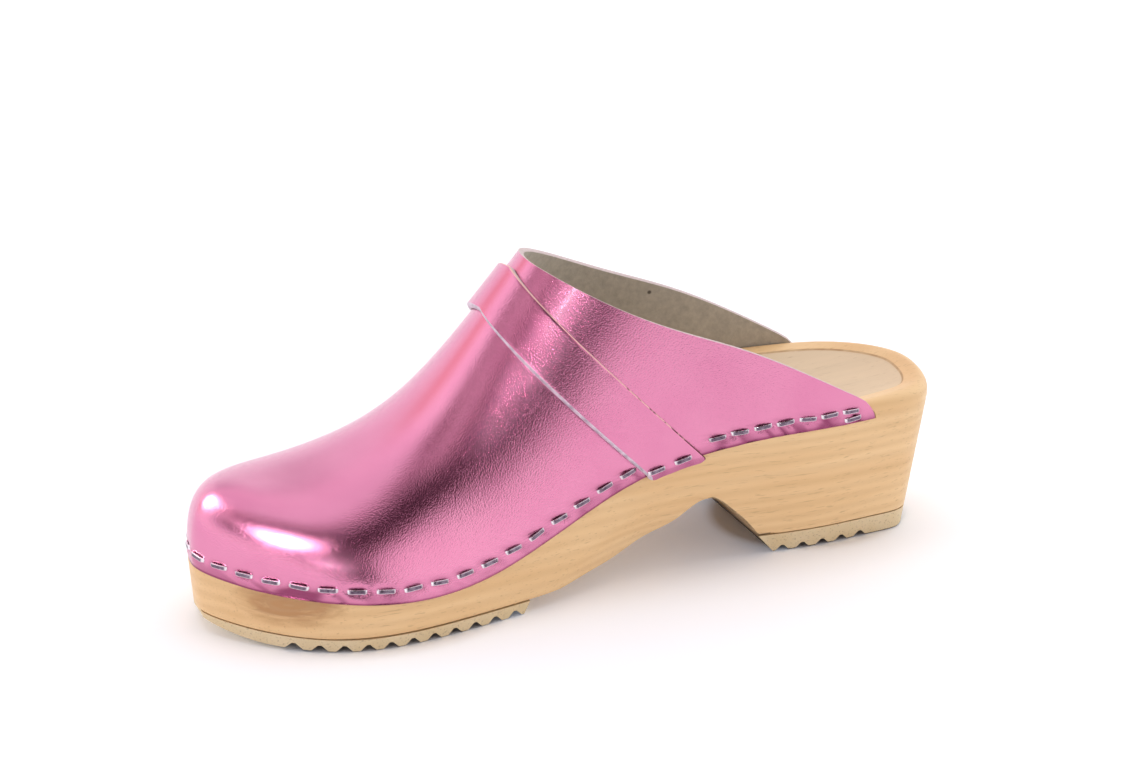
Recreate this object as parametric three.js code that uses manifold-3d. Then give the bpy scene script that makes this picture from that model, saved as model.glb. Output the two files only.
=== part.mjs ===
// A right-foot clog: a contoured wooden sole with two rubber treads, a one-piece leather upper let into
// the wood and stapled round its edge, and a leather strap over the instep. Millimetres, +X towards the
// toe, +Y towards the inner side of the foot, +Z up, origin on the floor under the rear of the heel.
import * as THREE from "three";
import { mergeVertices } from "three/addons/utils/BufferGeometryUtils.js";
import Module from "manifold-3d";

const wasm = await Module();
wasm.setup();

// Driving sizes.
const SOLE_LENGTH = 245;
const BALL_WIDTH = 92.7;
const HEEL_HEIGHT = 51.3; // floor to the rim of the footbed at the heel
const INSTEP_HEIGHT = 103; // floor to the top of the throat
const TOE_SPRING = 2.7;
const LEATHER = 2;
const STRAP_LEATHER = 2.2;
const STRAP_WIDTH = 16.2;
const STRAP_TUCK = 1.5; // how far the strap's ends reach below the upper's edge
const RIM_ROUND = 4;
const BED_DISH = 2.5;
const FRONT_TREAD = 4.3;
const HEEL_TREAD = 6.9;
const TREAD_PITCH = 6.98;
const GROOVE_WIDTH = 5.2;
const GROOVE_DEPTH = 2.1;
const GROOVE_TOP = 1;
const HEEL_BEVEL = 3;
const STAPLE_LENGTH = 5.8;
const STAPLE_WIDTH = 1.4;
const STAPLE_THICK = 0.7;
const STAPLE_EDGE = 4.2; // from the upper's lower edge up to the staples' middle
const STRAP_STAPLE_EDGE = 1.7; // the same for those in the strap's ends
const FIT_GAP = 0.3;

// How many of what repeats.
const FRONT_GROOVES = 11;
const HEEL_GROOVES = 5;
const STAPLE_ROWS = [
  { name: "inner", side: 1, front: 18, strap: 2, rear: 7 },
  { name: "outer", side: -1, front: 17, strap: 2, rear: 6 },
];

// Half widths each side of the sole's line, as shares of the ball width, by share of the length.
const OUTLINE = [
  { at: 0, inner: 0, outer: 0 },
  { at: 0.03, inner: 0.251, outer: 0.183 },
  { at: 0.1, inner: 0.316, outer: 0.309 },
  { at: 0.2, inner: 0.338, outer: 0.368 },
  { at: 0.3, inner: 0.32, outer: 0.41 },
  { at: 0.4, inner: 0.314, outer: 0.462 },
  { at: 0.5, inner: 0.351, outer: 0.502 },
  { at: 0.6, inner: 0.408, outer: 0.529 },
  { at: 0.7, inner: 0.468, outer: 0.528 },
  { at: 0.8, inner: 0.494, outer: 0.476 },
  { at: 0.9, inner: 0.41, outer: 0.335 },
  { at: 0.97, inner: 0.255, outer: 0.138 },
  { at: 1, inner: 0.103, outer: -0.103 },
];

// The ledge that the upper stands on and the footbed's rim, as shares of the heel height, and how far
// the wood draws in from the ledge to the floor, as a share of the ball width.
const SIDE = [
  { at: 0, ledge: 0.894, rim: 1, draw: 0.067 },
  { at: 0.08, ledge: 0.874, rim: 0.985, draw: 0.094 },
  { at: 0.15, ledge: 0.864, rim: 0.968, draw: 0.097 },
  { at: 0.25, ledge: 0.849, rim: 0.948, draw: 0.096 },
  { at: 0.35, ledge: 0.787, rim: 0.905, draw: 0.075 },
  { at: 0.45, ledge: 0.68, rim: 0.795, draw: 0.04 },
  { at: 0.55, ledge: 0.493, rim: 0.62, draw: 0.019 },
  { at: 0.65, ledge: 0.326, rim: 0.455, draw: 0.0155 },
  { at: 0.75, ledge: 0.281, rim: 0.408, draw: 0.0155 },
  { at: 0.85, ledge: 0.322, rim: 0.447, draw: 0.0155 },
  { at: 0.95, ledge: 0.376, rim: 0.5, draw: 0.017 },
  { at: 1, ledge: 0.412, rim: 0.535, draw: 0.018 },
];

// Height of the last's ridge, as a share of the instep height. Behind the throat it is only the line
// that the quarters lean towards.
const RIDGE = [
  { at: 0.1, height: 2.41 },
  { at: 0.3, height: 1.8 },
  { at: 0.5, height: 1.155 },
  { at: 0.6, height: 0.867 },
  { at: 0.7, height: 0.6 },
  { at: 0.8, height: 0.452 },
  { at: 0.86, height: 0.42 },
  { at: 0.93, height: 0.43 },
  { at: 1, height: 0.46 },
];

// Cross-sections of the last: how much the sides lean in, how full the sides and the crown are (2 is an
// ellipse), and where the ridge lies across, as a share of the ball width.
const SECTION = [
  { at: 0.1, lean: 0.28, side: 2, crown: 2, ridge: 0.022 },
  { at: 0.3, lean: 0.28, side: 2, crown: 2, ridge: 0.022 },
  { at: 0.45, lean: 0.29, side: 2, crown: 2, ridge: 0.022 },
  { at: 0.57, lean: 0.35, side: 2.05, crown: 2, ridge: 0.035 },
  { at: 0.68, lean: 0.27, side: 2.12, crown: 2.01, ridge: 0.049 },
  { at: 0.84, lean: 0.03, side: 2.6, crown: 2.35, ridge: 0.072 },
  { at: 1, lean: 0, side: 3.1, crown: 3.1, ridge: 0.103 },
];

// The collar from the throat down to its rear tips: how much of its height is left.
const COLLAR_TOP = 0.553 * SOLE_LENGTH;
const COLLAR_TIP = 0.113 * SOLE_LENGTH;
const COLLAR = [
  { along: 0, left: 1 },
  { along: 0.2, left: 0.772 },
  { along: 0.4, left: 0.584 },
  { along: 0.6, left: 0.428 },
  { along: 0.8, left: 0.229 },
  { along: 1, left: 0 },
];
const TIP_HEIGHT = 4.5;
const TIP_ROUND = 5;

// Underside of the wood between the treads, from the heel's breast to the ball, as shares of the length
// and of the heel height.
const ARCH = [
  { at: 0.24, height: 0 },
  { at: 0.26, height: 0.107 },
  { at: 0.28, height: 0.23 },
  { at: 0.305, height: 0.355 },
  { at: 0.325, height: 0.44 },
  { at: 0.335, height: 0.462 },
  { at: 0.345, height: 0.452 },
  { at: 0.371, height: 0.338 },
  { at: 0.412, height: 0.24 },
  { at: 0.455, height: 0.155 },
  { at: 0.499, height: 0.117 },
  { at: 0.547, height: 0.088 },
];

const BREAST_FOOT = 0.24 * SOLE_LENGTH;
const ARCH_PEAK = 0.335 * SOLE_LENGTH;

// The slanting cut under the inner waist: where it starts on the side wall, as a share of the heel
// height, and how far it goes in at the underside, as a share of the ball width.
const WAIST = [
  { at: 0.333, top: 0.463, cut: 0.003 },
  { at: 0.353, top: 0.494, cut: 0.022 },
  { at: 0.387, top: 0.512, cut: 0.05 },
  { at: 0.412, top: 0.521, cut: 0.06 },
  { at: 0.436, top: 0.504, cut: 0.06 },
  { at: 0.462, top: 0.444, cut: 0.054 },
  { at: 0.507, top: 0.32, cut: 0.033 },
  { at: 0.542, top: 0.216, cut: 0.014 },
  { at: 0.581, top: 0.103, cut: 0.002 },
];
const OUTER_WAIST = 0.55; // the same cut on the outer side, as a share of the inner one

// Where the toe starts to fan out from the end of the ridge, and how far the ridge still runs on.
const FAN_START = 0.838 * SOLE_LENGTH;
const FAN_RUN = 0.089 * SOLE_LENGTH;
const HEEL_FAN_START = 0.16 * SOLE_LENGTH;

// Where the front tread ends at the waist and at the toe, and where the toe spring starts.
const FRONT_TREAD_REAR = 0.604 * SOLE_LENGTH;
const FRONT_TREAD_TOE = 0.98 * SOLE_LENGTH;
const SPRING_START = 0.812 * SOLE_LENGTH;
const TOE_TAPER_START = 0.93 * SOLE_LENGTH;
const TOE_TAPER = 0.5; // of the tread's thickness

// The strap's middle line, by its slant at the ridge and at its foot, and the stretch it is looked for in.
const STRAP_TOP_SLANT = 0.206 * SOLE_LENGTH;
const STRAP_FOOT_SLANT = 0.2335 * SOLE_LENGTH;
const STRAP_FIRST = 0.28 * SOLE_LENGTH;
const STRAP_LAST = 0.75 * SOLE_LENGTH;
const STRAP_CLEAR = 0.035; // of a turn, behind the strap before the rear staples start

// Mesh fineness.
const UPPER_COLUMNS = 19;
const UPPER_ROWS = 25;
const COLUMN_CROWDING = 1.5; // columns crowd towards the ledge
const STRAP_ROWS = 4;
const SOLE_COLUMNS = 28;
const ARCH_STEPS = 16;
const SPRING_STEPS = 14;
const TOE_STEPS = 4;
const RUN_STEPS = 60;
const RIM_STEPS = 4;
const BED_SPREADS = [1, 0.8, 0.6, 0.35, 0]; // rings of the footbed, from the rim to its middle
const HALVINGS = 40;
const NEAR = 1e-3;
const END_MARGIN = 5 * NEAR;
const HEEL_MARGIN = 0.1;

// How far cutting bodies reach past what they cut.
const UNDER = 1;
const OUTSIDE = 12;
const POCKET_REACH = 5;

const HALF_TURN = Math.PI;
const QUARTER_TURN = Math.PI / 2;

// A smooth curve through a table's values, held level past its ends.
function smoothCurve(places, values) {
  const last = places.length - 1;
  const bend = places.map(() => 0);
  const carry = places.map(() => 0);
  for (let i = 1; i < last; i++) {
    const before = places[i] - places[i - 1];
    const after = places[i + 1] - places[i];
    const pull = (values[i + 1] - values[i]) / after - (values[i] - values[i - 1]) / before;
    const weight = 2 * (before + after) - before * carry[i - 1];
    carry[i] = after / weight;
    bend[i] = (6 * pull - before * bend[i - 1]) / weight;
  }
  for (let i = last - 1; i > 0; i--) {
    bend[i] -= carry[i] * bend[i + 1];
  }
  return (place) => {
    const here = THREE.MathUtils.clamp(place, places[0], places[last]);
    let i = 1;
    while (i < last && here > places[i]) {
      i++;
    }
    const span = places[i] - places[i - 1];
    const b = (here - places[i - 1]) / span;
    const a = 1 - b;
    const curve = ((a ** 3 - a) * bend[i - 1] + (b ** 3 - b) * bend[i]) * (span ** 2 / 6);
    return a * values[i - 1] + b * values[i] + curve;
  };
}

// One column of a table along the sole, times the named size that it is a share of.
function columnOf(table, key, size) {
  const places = table.map((row) => row.at * SOLE_LENGTH);
  return smoothCurve(places, table.map((row) => row[key] * size));
}

const ledgeAt = columnOf(SIDE, "ledge", HEEL_HEIGHT);
const rimAt = columnOf(SIDE, "rim", HEEL_HEIGHT);
const drawAt = columnOf(SIDE, "draw", BALL_WIDTH);
const ridgeAt = columnOf(RIDGE, "height", INSTEP_HEIGHT);
const leanAt = columnOf(SECTION, "lean", 1);
const sideAt = columnOf(SECTION, "side", 1);
const crownAt = columnOf(SECTION, "crown", 1);
const acrossAt = columnOf(SECTION, "ridge", BALL_WIDTH);

// The outline is read by its turn, 0 at the heel and half a turn at the toe, so both ends come out round.
const lengthAt = (turn) => (SOLE_LENGTH * (1 - Math.cos(turn))) / 2;
const turnAt = (length) => Math.acos(1 - (2 * length) / SOLE_LENGTH);
const outlineTurns = OUTLINE.map((row) => Math.acos(1 - 2 * row.at));
const innerAt = smoothCurve(outlineTurns, OUTLINE.map((row) => row.inner * BALL_WIDTH));
const outerAt = smoothCurve(outlineTurns, OUTLINE.map((row) => row.outer * BALL_WIDTH));
const edgeAt = (side, turn) => (side > 0 ? innerAt(turn) : -outerAt(turn));

// Where the section through a place on the edge starts from on the ridge: past the start of the toe
// the sections fan out.
function ridgeFoot(length) {
  const past = Math.max(length - FAN_START, 0);
  return Math.min(length, FAN_START) + FAN_RUN * (1 - Math.exp(-past / FAN_RUN));
}

// A point of the upper's outer face: side 1 or -1, turn along the outline, rise from 0 at the ledge to a
// quarter turn at the ridge.
function lastPoint(side, turn, rise) {
  const length = lengthAt(turn);
  const foot = ridgeFoot(length);
  const lift = Math.sin(rise) ** (2 / crownAt(length));
  const spread = Math.cos(rise) ** (2 / sideAt(length)) * (1 - leanAt(length) * lift);
  const x = foot + spread * (length - foot);
  const y = acrossAt(foot) + spread * (edgeAt(side, turn) - acrossAt(foot));
  const ledge = ledgeAt(length);
  return new THREE.Vector3(x, y, ledge + (ridgeAt(x) - ledge) * lift);
}

// One side's outward direction, taken a little inside the ends, where the face still has one.
function sideNormal(side, turn, rise) {
  const t = THREE.MathUtils.clamp(turn, HEEL_MARGIN, HALF_TURN - END_MARGIN);
  const r = THREE.MathUtils.clamp(rise, END_MARGIN, QUARTER_TURN - END_MARGIN);
  const along = lastPoint(side, t + NEAR, r).sub(lastPoint(side, t - NEAR, r));
  const up = lastPoint(side, t, r + NEAR).sub(lastPoint(side, t, r - NEAR));
  return up.cross(along).multiplyScalar(side).normalize();
}

// The outward direction of the last. Both sides share it on the ridge and at the toe's tip.
function lastNormal(side, turn, rise) {
  const shared = turn > HALF_TURN - NEAR || rise > QUARTER_TURN - NEAR;
  const normal = sideNormal(side, turn, rise);
  return shared ? normal.add(sideNormal(-side, turn, rise)).normalize() : normal;
}

const offLast = (side, turn, rise, off) =>
  lastPoint(side, turn, rise).addScaledVector(lastNormal(side, turn, rise), off);

// Places from one end to the other in even steps.
const stepsBetween = (from, to, count) =>
  Array.from({ length: count + 1 }, (_, i) => from + ((to - from) * i) / count);

// Bisection for the place between two ends where a falling measure reaches nought.
function crossing(low, high, measure) {
  let from = low;
  let to = high;
  for (let i = 0; i < HALVINGS; i++) {
    const middle = (from + to) / 2;
    if (measure(middle) > 0) {
      from = middle;
    } else {
      to = middle;
    }
  }
  return (from + to) / 2;
}

// The collar's height above the ledge, rounded off at its rear tips.
const collarLeft = smoothCurve(
  COLLAR.map((row) => row.along),
  COLLAR.map((row) => row.left),
);

function collarHeight(length) {
  const along = (COLLAR_TOP - length) / (COLLAR_TOP - COLLAR_TIP);
  const tip = ledgeAt(COLLAR_TIP) + TIP_HEIGHT;
  const height = tip + (ridgeAt(COLLAR_TOP) - tip) * collarLeft(along);
  const inRound = THREE.MathUtils.clamp((length - COLLAR_TIP) / TIP_ROUND, 0, 1);
  return (height - ledgeAt(length)) * Math.sqrt(1 - (1 - inRound) ** 2);
}

function collarTurn(rise) {
  return crossing(turnAt(COLLAR_TIP), turnAt(COLLAR_TOP), (turn) => {
    const length = lengthAt(turn);
    const lift = Math.sin(rise) ** (2 / crownAt(length));
    return lift * (ridgeAt(length) - ledgeAt(length)) - collarHeight(length);
  });
}

// A closed body from a mesh whose triangles may all face the wrong way.
function bodyOf(geometry) {
  const plain = geometry.index ? geometry.toNonIndexed() : geometry.clone();
  plain.deleteAttribute("normal");
  plain.deleteAttribute("uv");
  const merged = mergeVertices(plain, NEAR);
  const corners = merged.index.array;
  const kept = [];
  for (let i = 0; i < corners.length; i += 3) {
    const [a, b, c] = [corners[i], corners[i + 1], corners[i + 2]];
    if (a !== b && b !== c && c !== a) {
      kept.push(a, b, c);
    }
  }
  const vertProperties = new Float32Array(merged.getAttribute("position").array);
  const build = (order) =>
    new wasm.Manifold(new wasm.Mesh({ numProp: 3, vertProperties, triVerts: new Uint32Array(order) }));
  const body = build(kept);
  return body.volume() < 0 ? build(kept.toReversed()) : body;
}

// A closed body from rings of points joined one to the next. The end rings have collapsed onto a line.
function lofted(rings) {
  const points = [];
  for (let r = 1; r < rings.length; r++) {
    const here = rings[r - 1];
    const next = rings[r];
    for (let i = 0; i < here.length; i++) {
      const j = (i + 1) % here.length;
      points.push(here[i], here[j], next[j], here[i], next[j], next[i]);
    }
  }
  return bodyOf(new THREE.BufferGeometry().setFromPoints(points));
}

// A bar through sections of the same few points, with flat ends.
function bar(sections) {
  const middleOf = (section) => {
    const middle = new THREE.Vector3();
    section.forEach((point) => middle.addScaledVector(point, 1 / section.length));
    return section.map(() => middle);
  };
  return lofted([middleOf(sections[0]), ...sections, middleOf(sections.at(-1))]);
}

// A piece of sheet from rows of outer and inner points: each ring runs from edge to edge outside and
// back inside. An end is closed by folding its ring flat, unless its two halves already meet.
function sheet(rows, { halvesMeet = false } = {}) {
  const rings = rows.map(({ outside, inside }) => [...outside, ...inside.toReversed()]);
  const folded = (ring) => ring.map((point, i) => (i < ring.length / 2 ? point : ring[ring.length - 1 - i]));
  const end = halvesMeet ? [] : [folded(rings.at(-1))];
  return lofted([folded(rings[0]), ...rings, ...end]);
}

// A body with a side view drawn in X and Z, right across the sole.
function slab(outline) {
  const shape = new THREE.Shape(outline.map(([x, z]) => new THREE.Vector2(x, z)));
  const geometry = new THREE.ExtrudeGeometry(shape, { depth: 2 * BALL_WIDTH, bevelEnabled: false });
  geometry.rotateX(QUARTER_TURN);
  geometry.translate(0, BALL_WIDTH, 0);
  return bodyOf(geometry);
}

// The upper's shell between two distances from its outer face, let down past the ledge and out past the
// collar by a margin.
function shellOfLast(outside, inside, margin) {
  const columns = [];
  for (let i = 0; i <= 2 * UPPER_COLUMNS; i++) {
    const step = Math.abs(i - UPPER_COLUMNS) / UPPER_COLUMNS;
    const rise = QUARTER_TURN * (1 - step) ** COLUMN_CROWDING;
    columns.push({ side: i <= UPPER_COLUMNS ? 1 : -1, rise, start: collarTurn(rise) });
  }
  const faceAt = (share, off) =>
    columns.map(({ side, rise, start }) => {
      const turn = start + (HALF_TURN - start) * share;
      const point = offLast(side, turn, rise, off);
      if (share === 0) {
        const ahead = offLast(side, turn + NEAR, rise, off);
        point.addScaledVector(point.clone().sub(ahead).normalize(), margin);
      }
      if (rise === 0) {
        point.z -= margin;
      }
      return point;
    });
  const rows = [];
  for (let row = 0; row <= UPPER_ROWS; row++) {
    const share = row / UPPER_ROWS;
    rows.push({ outside: faceAt(share, outside), inside: faceAt(share, inside) });
  }
  return sheet(rows, { halvesMeet: true });
}

// A point of the sole's outline, moved inwards.
function edgePoint(side, turn, inset, height) {
  const ahead = Math.min(turn + NEAR, HALF_TURN);
  const back = Math.max(turn - NEAR, 0);
  const alongX = lengthAt(ahead) - lengthAt(back);
  const alongY = edgeAt(side, ahead) - edgeAt(side, back);
  const run = Math.hypot(alongX, alongY);
  const x = lengthAt(turn) + (side * alongY * inset) / run;
  return new THREE.Vector3(x, edgeAt(side, turn) - (side * alongX * inset) / run, height);
}

// One ring round the sole, from the heel along the inner side to the toe and back.
function ringOf(pointAt) {
  const ring = [];
  for (let i = 0; i < 2 * SOLE_COLUMNS; i++) {
    const onInner = i <= SOLE_COLUMNS;
    const step = onInner ? i : 2 * SOLE_COLUMNS - i;
    ring.push(pointAt(onInner ? 1 : -1, (HALF_TURN * step) / SOLE_COLUMNS));
  }
  return ring;
}

// The line that the footbed's rings close onto: the middle of the sole, drawn in at heel and toe.
function bedMiddle(length) {
  const past = Math.max(HEEL_FAN_START - length, 0);
  const foot = ridgeFoot(Math.max(length, HEEL_FAN_START)) - FAN_RUN * (1 - Math.exp(-past / FAN_RUN));
  const turn = turnAt(foot);
  return new THREE.Vector3(foot, (innerAt(turn) - outerAt(turn)) / 2, 0);
}

// The wood before its underside is cut: drawn in towards the floor, with a rounded rim round a dished
// footbed. The treads take their outline from the same sides.
function soleBlank() {
  const wallInset = (length, height) => drawAt(length) * Math.max(1 - height / ledgeAt(length), 0);
  const wall = (heightAt) =>
    ringOf((side, turn) => {
      const length = lengthAt(turn);
      const height = heightAt(length);
      return edgePoint(side, turn, wallInset(length, height), height);
    });
  const rim = (angle) =>
    ringOf((side, turn) => {
      const height = rimAt(lengthAt(turn)) - RIM_ROUND * (1 - Math.sin(angle));
      return edgePoint(side, turn, RIM_ROUND * (1 - Math.cos(angle)), height);
    });
  const bed = (spread) =>
    ringOf((side, turn) => {
      const middle = bedMiddle(lengthAt(turn));
      const point = middle.clone().lerp(edgePoint(side, turn, RIM_ROUND, 0), spread);
      point.z = rimAt(point.x) - BED_DISH * (1 - spread ** 2);
      return point;
    });
  const base = ringOf((side, turn) => bedMiddle(lengthAt(turn)).setZ(-UNDER));
  const rimAngles = stepsBetween(0, QUARTER_TURN, RIM_STEPS).slice(0, -1);
  return lofted([
    base,
    wall(() => -UNDER),
    wall(ledgeAt),
    ...rimAngles.map(rim),
    ...BED_SPREADS.map(bed),
  ]);
}

const springAt = (length) => {
  const past = Math.max(length - SPRING_START, 0) / (SOLE_LENGTH - SPRING_START);
  return TOE_SPRING * past ** 2;
};

const archAt = columnOf(ARCH, "height", HEEL_HEIGHT);
const breastAt = (height) =>
  crossing(BREAST_FOOT, ARCH_PEAK, (length) => height - archAt(length));

// The slanting cut under one side of the waist.
function waistCut(side, share) {
  return bar(
    WAIST.map((row) => {
      const length = row.at * SOLE_LENGTH;
      const under = archAt(length);
      const top = under + (row.top * HEEL_HEIGHT - under) * share;
      const cut = row.cut * BALL_WIDTH * share;
      const turn = turnAt(length);
      const wall = Math.abs(edgeAt(side, turn)) - drawAt(length) * (1 - top / ledgeAt(length));
      const foot = wall - (cut * (top + UNDER)) / (top - under);
      const outer = wall + RIM_ROUND;
      const corner = (y, z) => new THREE.Vector3(length, side * y, z);
      return [corner(wall, top), corner(outer, top), corner(outer, -UNDER), corner(foot, -UNDER)];
    }),
  );
}

function woodSole() {
  const breast = breastAt(HEEL_TREAD);
  const front = FRONT_TREAD_REAR;
  const outline = [
    [-OUTSIDE, HEEL_TREAD],
    [breast, HEEL_TREAD],
    ...stepsBetween(breast, front, ARCH_STEPS)
      .slice(1, -1)
      .map((length) => [length, Math.max(archAt(length), FRONT_TREAD)]),
    ...stepsBetween(front, SOLE_LENGTH + OUTSIDE, SPRING_STEPS).map((length) => [
      length,
      FRONT_TREAD + springAt(length),
    ]),
    [SOLE_LENGTH + OUTSIDE, 2 * HEEL_HEIGHT],
    [-OUTSIDE, 2 * HEEL_HEIGHT],
  ];
  const pocket = shellOfLast(POCKET_REACH, -LEATHER - FIT_GAP, FIT_GAP);
  return soleBlank()
    .intersect(slab(outline))
    .subtract(waistCut(1, 1))
    .subtract(waistCut(-1, OUTER_WAIST))
    .subtract(pocket);
}

// The corners of one groove across a tread, from the heel's side to the toe's.
function groove(middle, floorAt) {
  const half = GROOVE_WIDTH / 2;
  const narrow = GROOVE_TOP / 2;
  const top = floorAt(middle) + GROOVE_DEPTH;
  return [
    [middle - half, floorAt(middle - half)],
    [middle - narrow, top],
    [middle + narrow, top],
    [middle + half, floorAt(middle + half)],
  ];
}

const floorLevel = () => 0;
const heelGrooveAt = (i) => breastAt(0) - TREAD_PITCH * (i + 0.5);
const frontGrooveAt = (i) => FRONT_TREAD_REAR + TREAD_PITCH * (i + 0.5);

function heelTread() {
  const top = HEEL_TREAD - FIT_GAP;
  const back = drawAt(0);
  const grooves = [];
  for (let i = HEEL_GROOVES - 1; i >= 0; i--) {
    grooves.push(...groove(heelGrooveAt(i), floorLevel));
  }
  const outline = [
    [back + HEEL_BEVEL - top, top],
    [back + HEEL_BEVEL, 0],
    ...grooves,
    [breastAt(0), 0],
    [breastAt(top), top],
  ];
  return soleBlank().intersect(slab(outline));
}

function forefootTread() {
  const taperRun = FRONT_TREAD_TOE - TOE_TAPER_START;
  const under = (length) => {
    const past = Math.max(length - TOE_TAPER_START, 0) / taperRun;
    return springAt(length) + FRONT_TREAD * TOE_TAPER * past ** 2;
  };
  const top = (length) => FRONT_TREAD - FIT_GAP + springAt(length);
  const grooves = [];
  for (let i = 0; i < FRONT_GROOVES; i++) {
    grooves.push(...groove(frontGrooveAt(i), springAt));
  }
  const lastGroove = frontGrooveAt(FRONT_GROOVES - 1) + TREAD_PITCH / 2;
  const outline = [
    [FRONT_TREAD_REAR, 0],
    ...grooves,
    ...stepsBetween(lastGroove, FRONT_TREAD_TOE, TOE_STEPS).map((length) => [length, under(length)]),
    ...stepsBetween(FRONT_TREAD_TOE, FRONT_TREAD_REAR - FRONT_TREAD / 2, SPRING_STEPS).map((length) => [
      length,
      top(length),
    ]),
  ];
  return soleBlank().intersect(slab(outline));
}

// The strap lies on the upper between two slanting planes: its slant is the length less the height.
const strapSlant = (rise, across) => {
  const middle = STRAP_TOP_SLANT + (STRAP_FOOT_SLANT - STRAP_TOP_SLANT) * Math.cos(rise);
  return middle + (across * STRAP_WIDTH) / Math.SQRT2;
};

function strapTurn(side, rise, across) {
  return crossing(turnAt(STRAP_FIRST), turnAt(STRAP_LAST), (turn) => {
    const point = lastPoint(side, turn, rise);
    return strapSlant(rise, across) - (point.x - point.z);
  });
}

function instepStrap() {
  const rows = [];
  for (let i = -1; i <= 2 * UPPER_COLUMNS + 1; i++) {
    const step = Math.min(Math.abs(i - UPPER_COLUMNS) / UPPER_COLUMNS, 1);
    const rise = QUARTER_TURN * (1 - step) ** COLUMN_CROWDING;
    const side = i <= UPPER_COLUMNS ? 1 : -1;
    const tucked = i < 0 || i > 2 * UPPER_COLUMNS ? STRAP_TUCK : 0;
    const faceAt = (off) =>
      stepsBetween(-1, 1, STRAP_ROWS).map((across) => {
        const point = offLast(side, strapTurn(side, rise, across), rise, off);
        point.z -= tucked;
        return point;
      });
    rows.push({ outside: faceAt(FIT_GAP + STRAP_LEATHER), inside: faceAt(-LEATHER / 2) });
  }
  const upperWithGap = shellOfLast(FIT_GAP, -LEATHER, FIT_GAP + STRAP_TUCK);
  return sheet(rows).subtract(upperWithGap);
}

// Where the staples sit along one side: a front run from the strap to the toe, two in the strap's end,
// and a rear run to the collar's tip, each at even steps along the edge.
function staplePlaces({ side, front, strap, rear }) {
  const riseAt = (turn, edge) => {
    const length = lengthAt(turn);
    const lift = edge / (ridgeAt(length) - ledgeAt(length));
    return Math.asin(lift ** (crownAt(length) / 2));
  };
  const point = (turn) => lastPoint(side, turn, riseAt(turn, STAPLE_EDGE));
  const run = (from, to, count) => {
    const turns = stepsBetween(from, to, RUN_STEPS);
    const lengths = [0];
    for (let i = 1; i < turns.length; i++) {
      lengths.push(lengths[i - 1] + point(turns[i]).distanceTo(point(turns[i - 1])));
    }
    const turnFor = smoothCurve(lengths, turns);
    const pitch = lengths.at(-1) / count;
    return Array.from({ length: count }, (_, i) => turnFor(pitch * (i + 0.5)));
  };
  const low = riseAt(turnAt(STRAP_FIRST), STAPLE_EDGE);
  const strapRear = strapTurn(side, low, -1);
  const strapFront = strapTurn(side, low, 1);
  const tip = turnAt(COLLAR_TIP + TIP_ROUND);
  const onUpper = (turn) => ({ side, turn, rise: riseAt(turn, STAPLE_EDGE), lift: 0 });
  const onStrap = (turn) => ({
    side,
    turn,
    rise: riseAt(turn, STRAP_STAPLE_EDGE),
    lift: FIT_GAP + STRAP_LEATHER,
  });
  return [
    ...run(strapFront, HALF_TURN, front).map(onUpper),
    ...run(strapRear, strapFront, strap).map(onStrap),
    ...run(tip, strapRear - STRAP_CLEAR, rear).map(onUpper),
  ];
}

// One staple's crown: a flat bar with bevelled ends, lying on the leather along its edge.
function staple({ side, turn, rise, lift }) {
  const half = STAPLE_LENGTH / 2;
  const shoulder = half - STAPLE_THICK;
  const shape = new THREE.Shape([
    new THREE.Vector2(-half, 0),
    new THREE.Vector2(half, 0),
    new THREE.Vector2(shoulder, STAPLE_THICK),
    new THREE.Vector2(-shoulder, STAPLE_THICK),
  ]);
  const geometry = new THREE.ExtrudeGeometry(shape, { depth: STAPLE_WIDTH, bevelEnabled: false });
  geometry.translate(0, 0, -STAPLE_WIDTH / 2);
  const normal = lastNormal(side, turn, rise);
  const along = offLast(side, turn + NEAR, rise, lift).sub(offLast(side, turn - NEAR, rise, lift));
  const across = along.cross(normal).normalize();
  const seat = offLast(side, turn, rise, lift + FIT_GAP);
  const frame = new THREE.Matrix4().makeBasis(normal.clone().cross(across), normal, across);
  return bodyOf(geometry.applyMatrix4(frame.setPosition(seat)));
}

const WOOD = new THREE.MeshStandardMaterial({ color: 0xe3bd86, roughness: 0.55, metalness: 0 });
const RUBBER = new THREE.MeshStandardMaterial({ color: 0xc4ae84, roughness: 0.85, metalness: 0 });
const PINK_LEATHER = new THREE.MeshStandardMaterial({ color: 0xd9739f, roughness: 0.3, metalness: 0.6 });
const STEEL = new THREE.MeshStandardMaterial({ color: 0xb9b7ba, roughness: 0.3, metalness: 1 });

const clog = new THREE.Group();
// The origin is under the flat rear of the heel, between its bevel and its last groove.
const heelFlatRear = drawAt(0) + HEEL_BEVEL;
const heelFlatFront = heelGrooveAt(HEEL_GROOVES - 1) - GROOVE_WIDTH / 2;
clog.position.x = -(heelFlatRear + heelFlatFront) / 2;

function add(name, body, material) {
  const { vertProperties, triVerts } = body.getMesh();
  const geometry = new THREE.BufferGeometry();
  geometry.setAttribute("position", new THREE.BufferAttribute(vertProperties, 3));
  geometry.setIndex(new THREE.BufferAttribute(triVerts, 1));
  geometry.computeVertexNormals();
  const mesh = new THREE.Mesh(geometry, material);
  mesh.name = name;
  clog.add(mesh);
}

add("wood_sole", woodSole(), WOOD);
add("heel_tread", heelTread(), RUBBER);
add("forefoot_tread", forefootTread(), RUBBER);
add("upper", shellOfLast(0, -LEATHER, 0), PINK_LEATHER);
add("instep_strap", instepStrap(), PINK_LEATHER);
STAPLE_ROWS.forEach((row) => {
  staplePlaces(row).forEach((place, i) => {
    add(`staple_${row.name}_${String(i + 1).padStart(2, "0")}`, staple(place), STEEL);
  });
});

export default clog;
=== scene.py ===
import math

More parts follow.
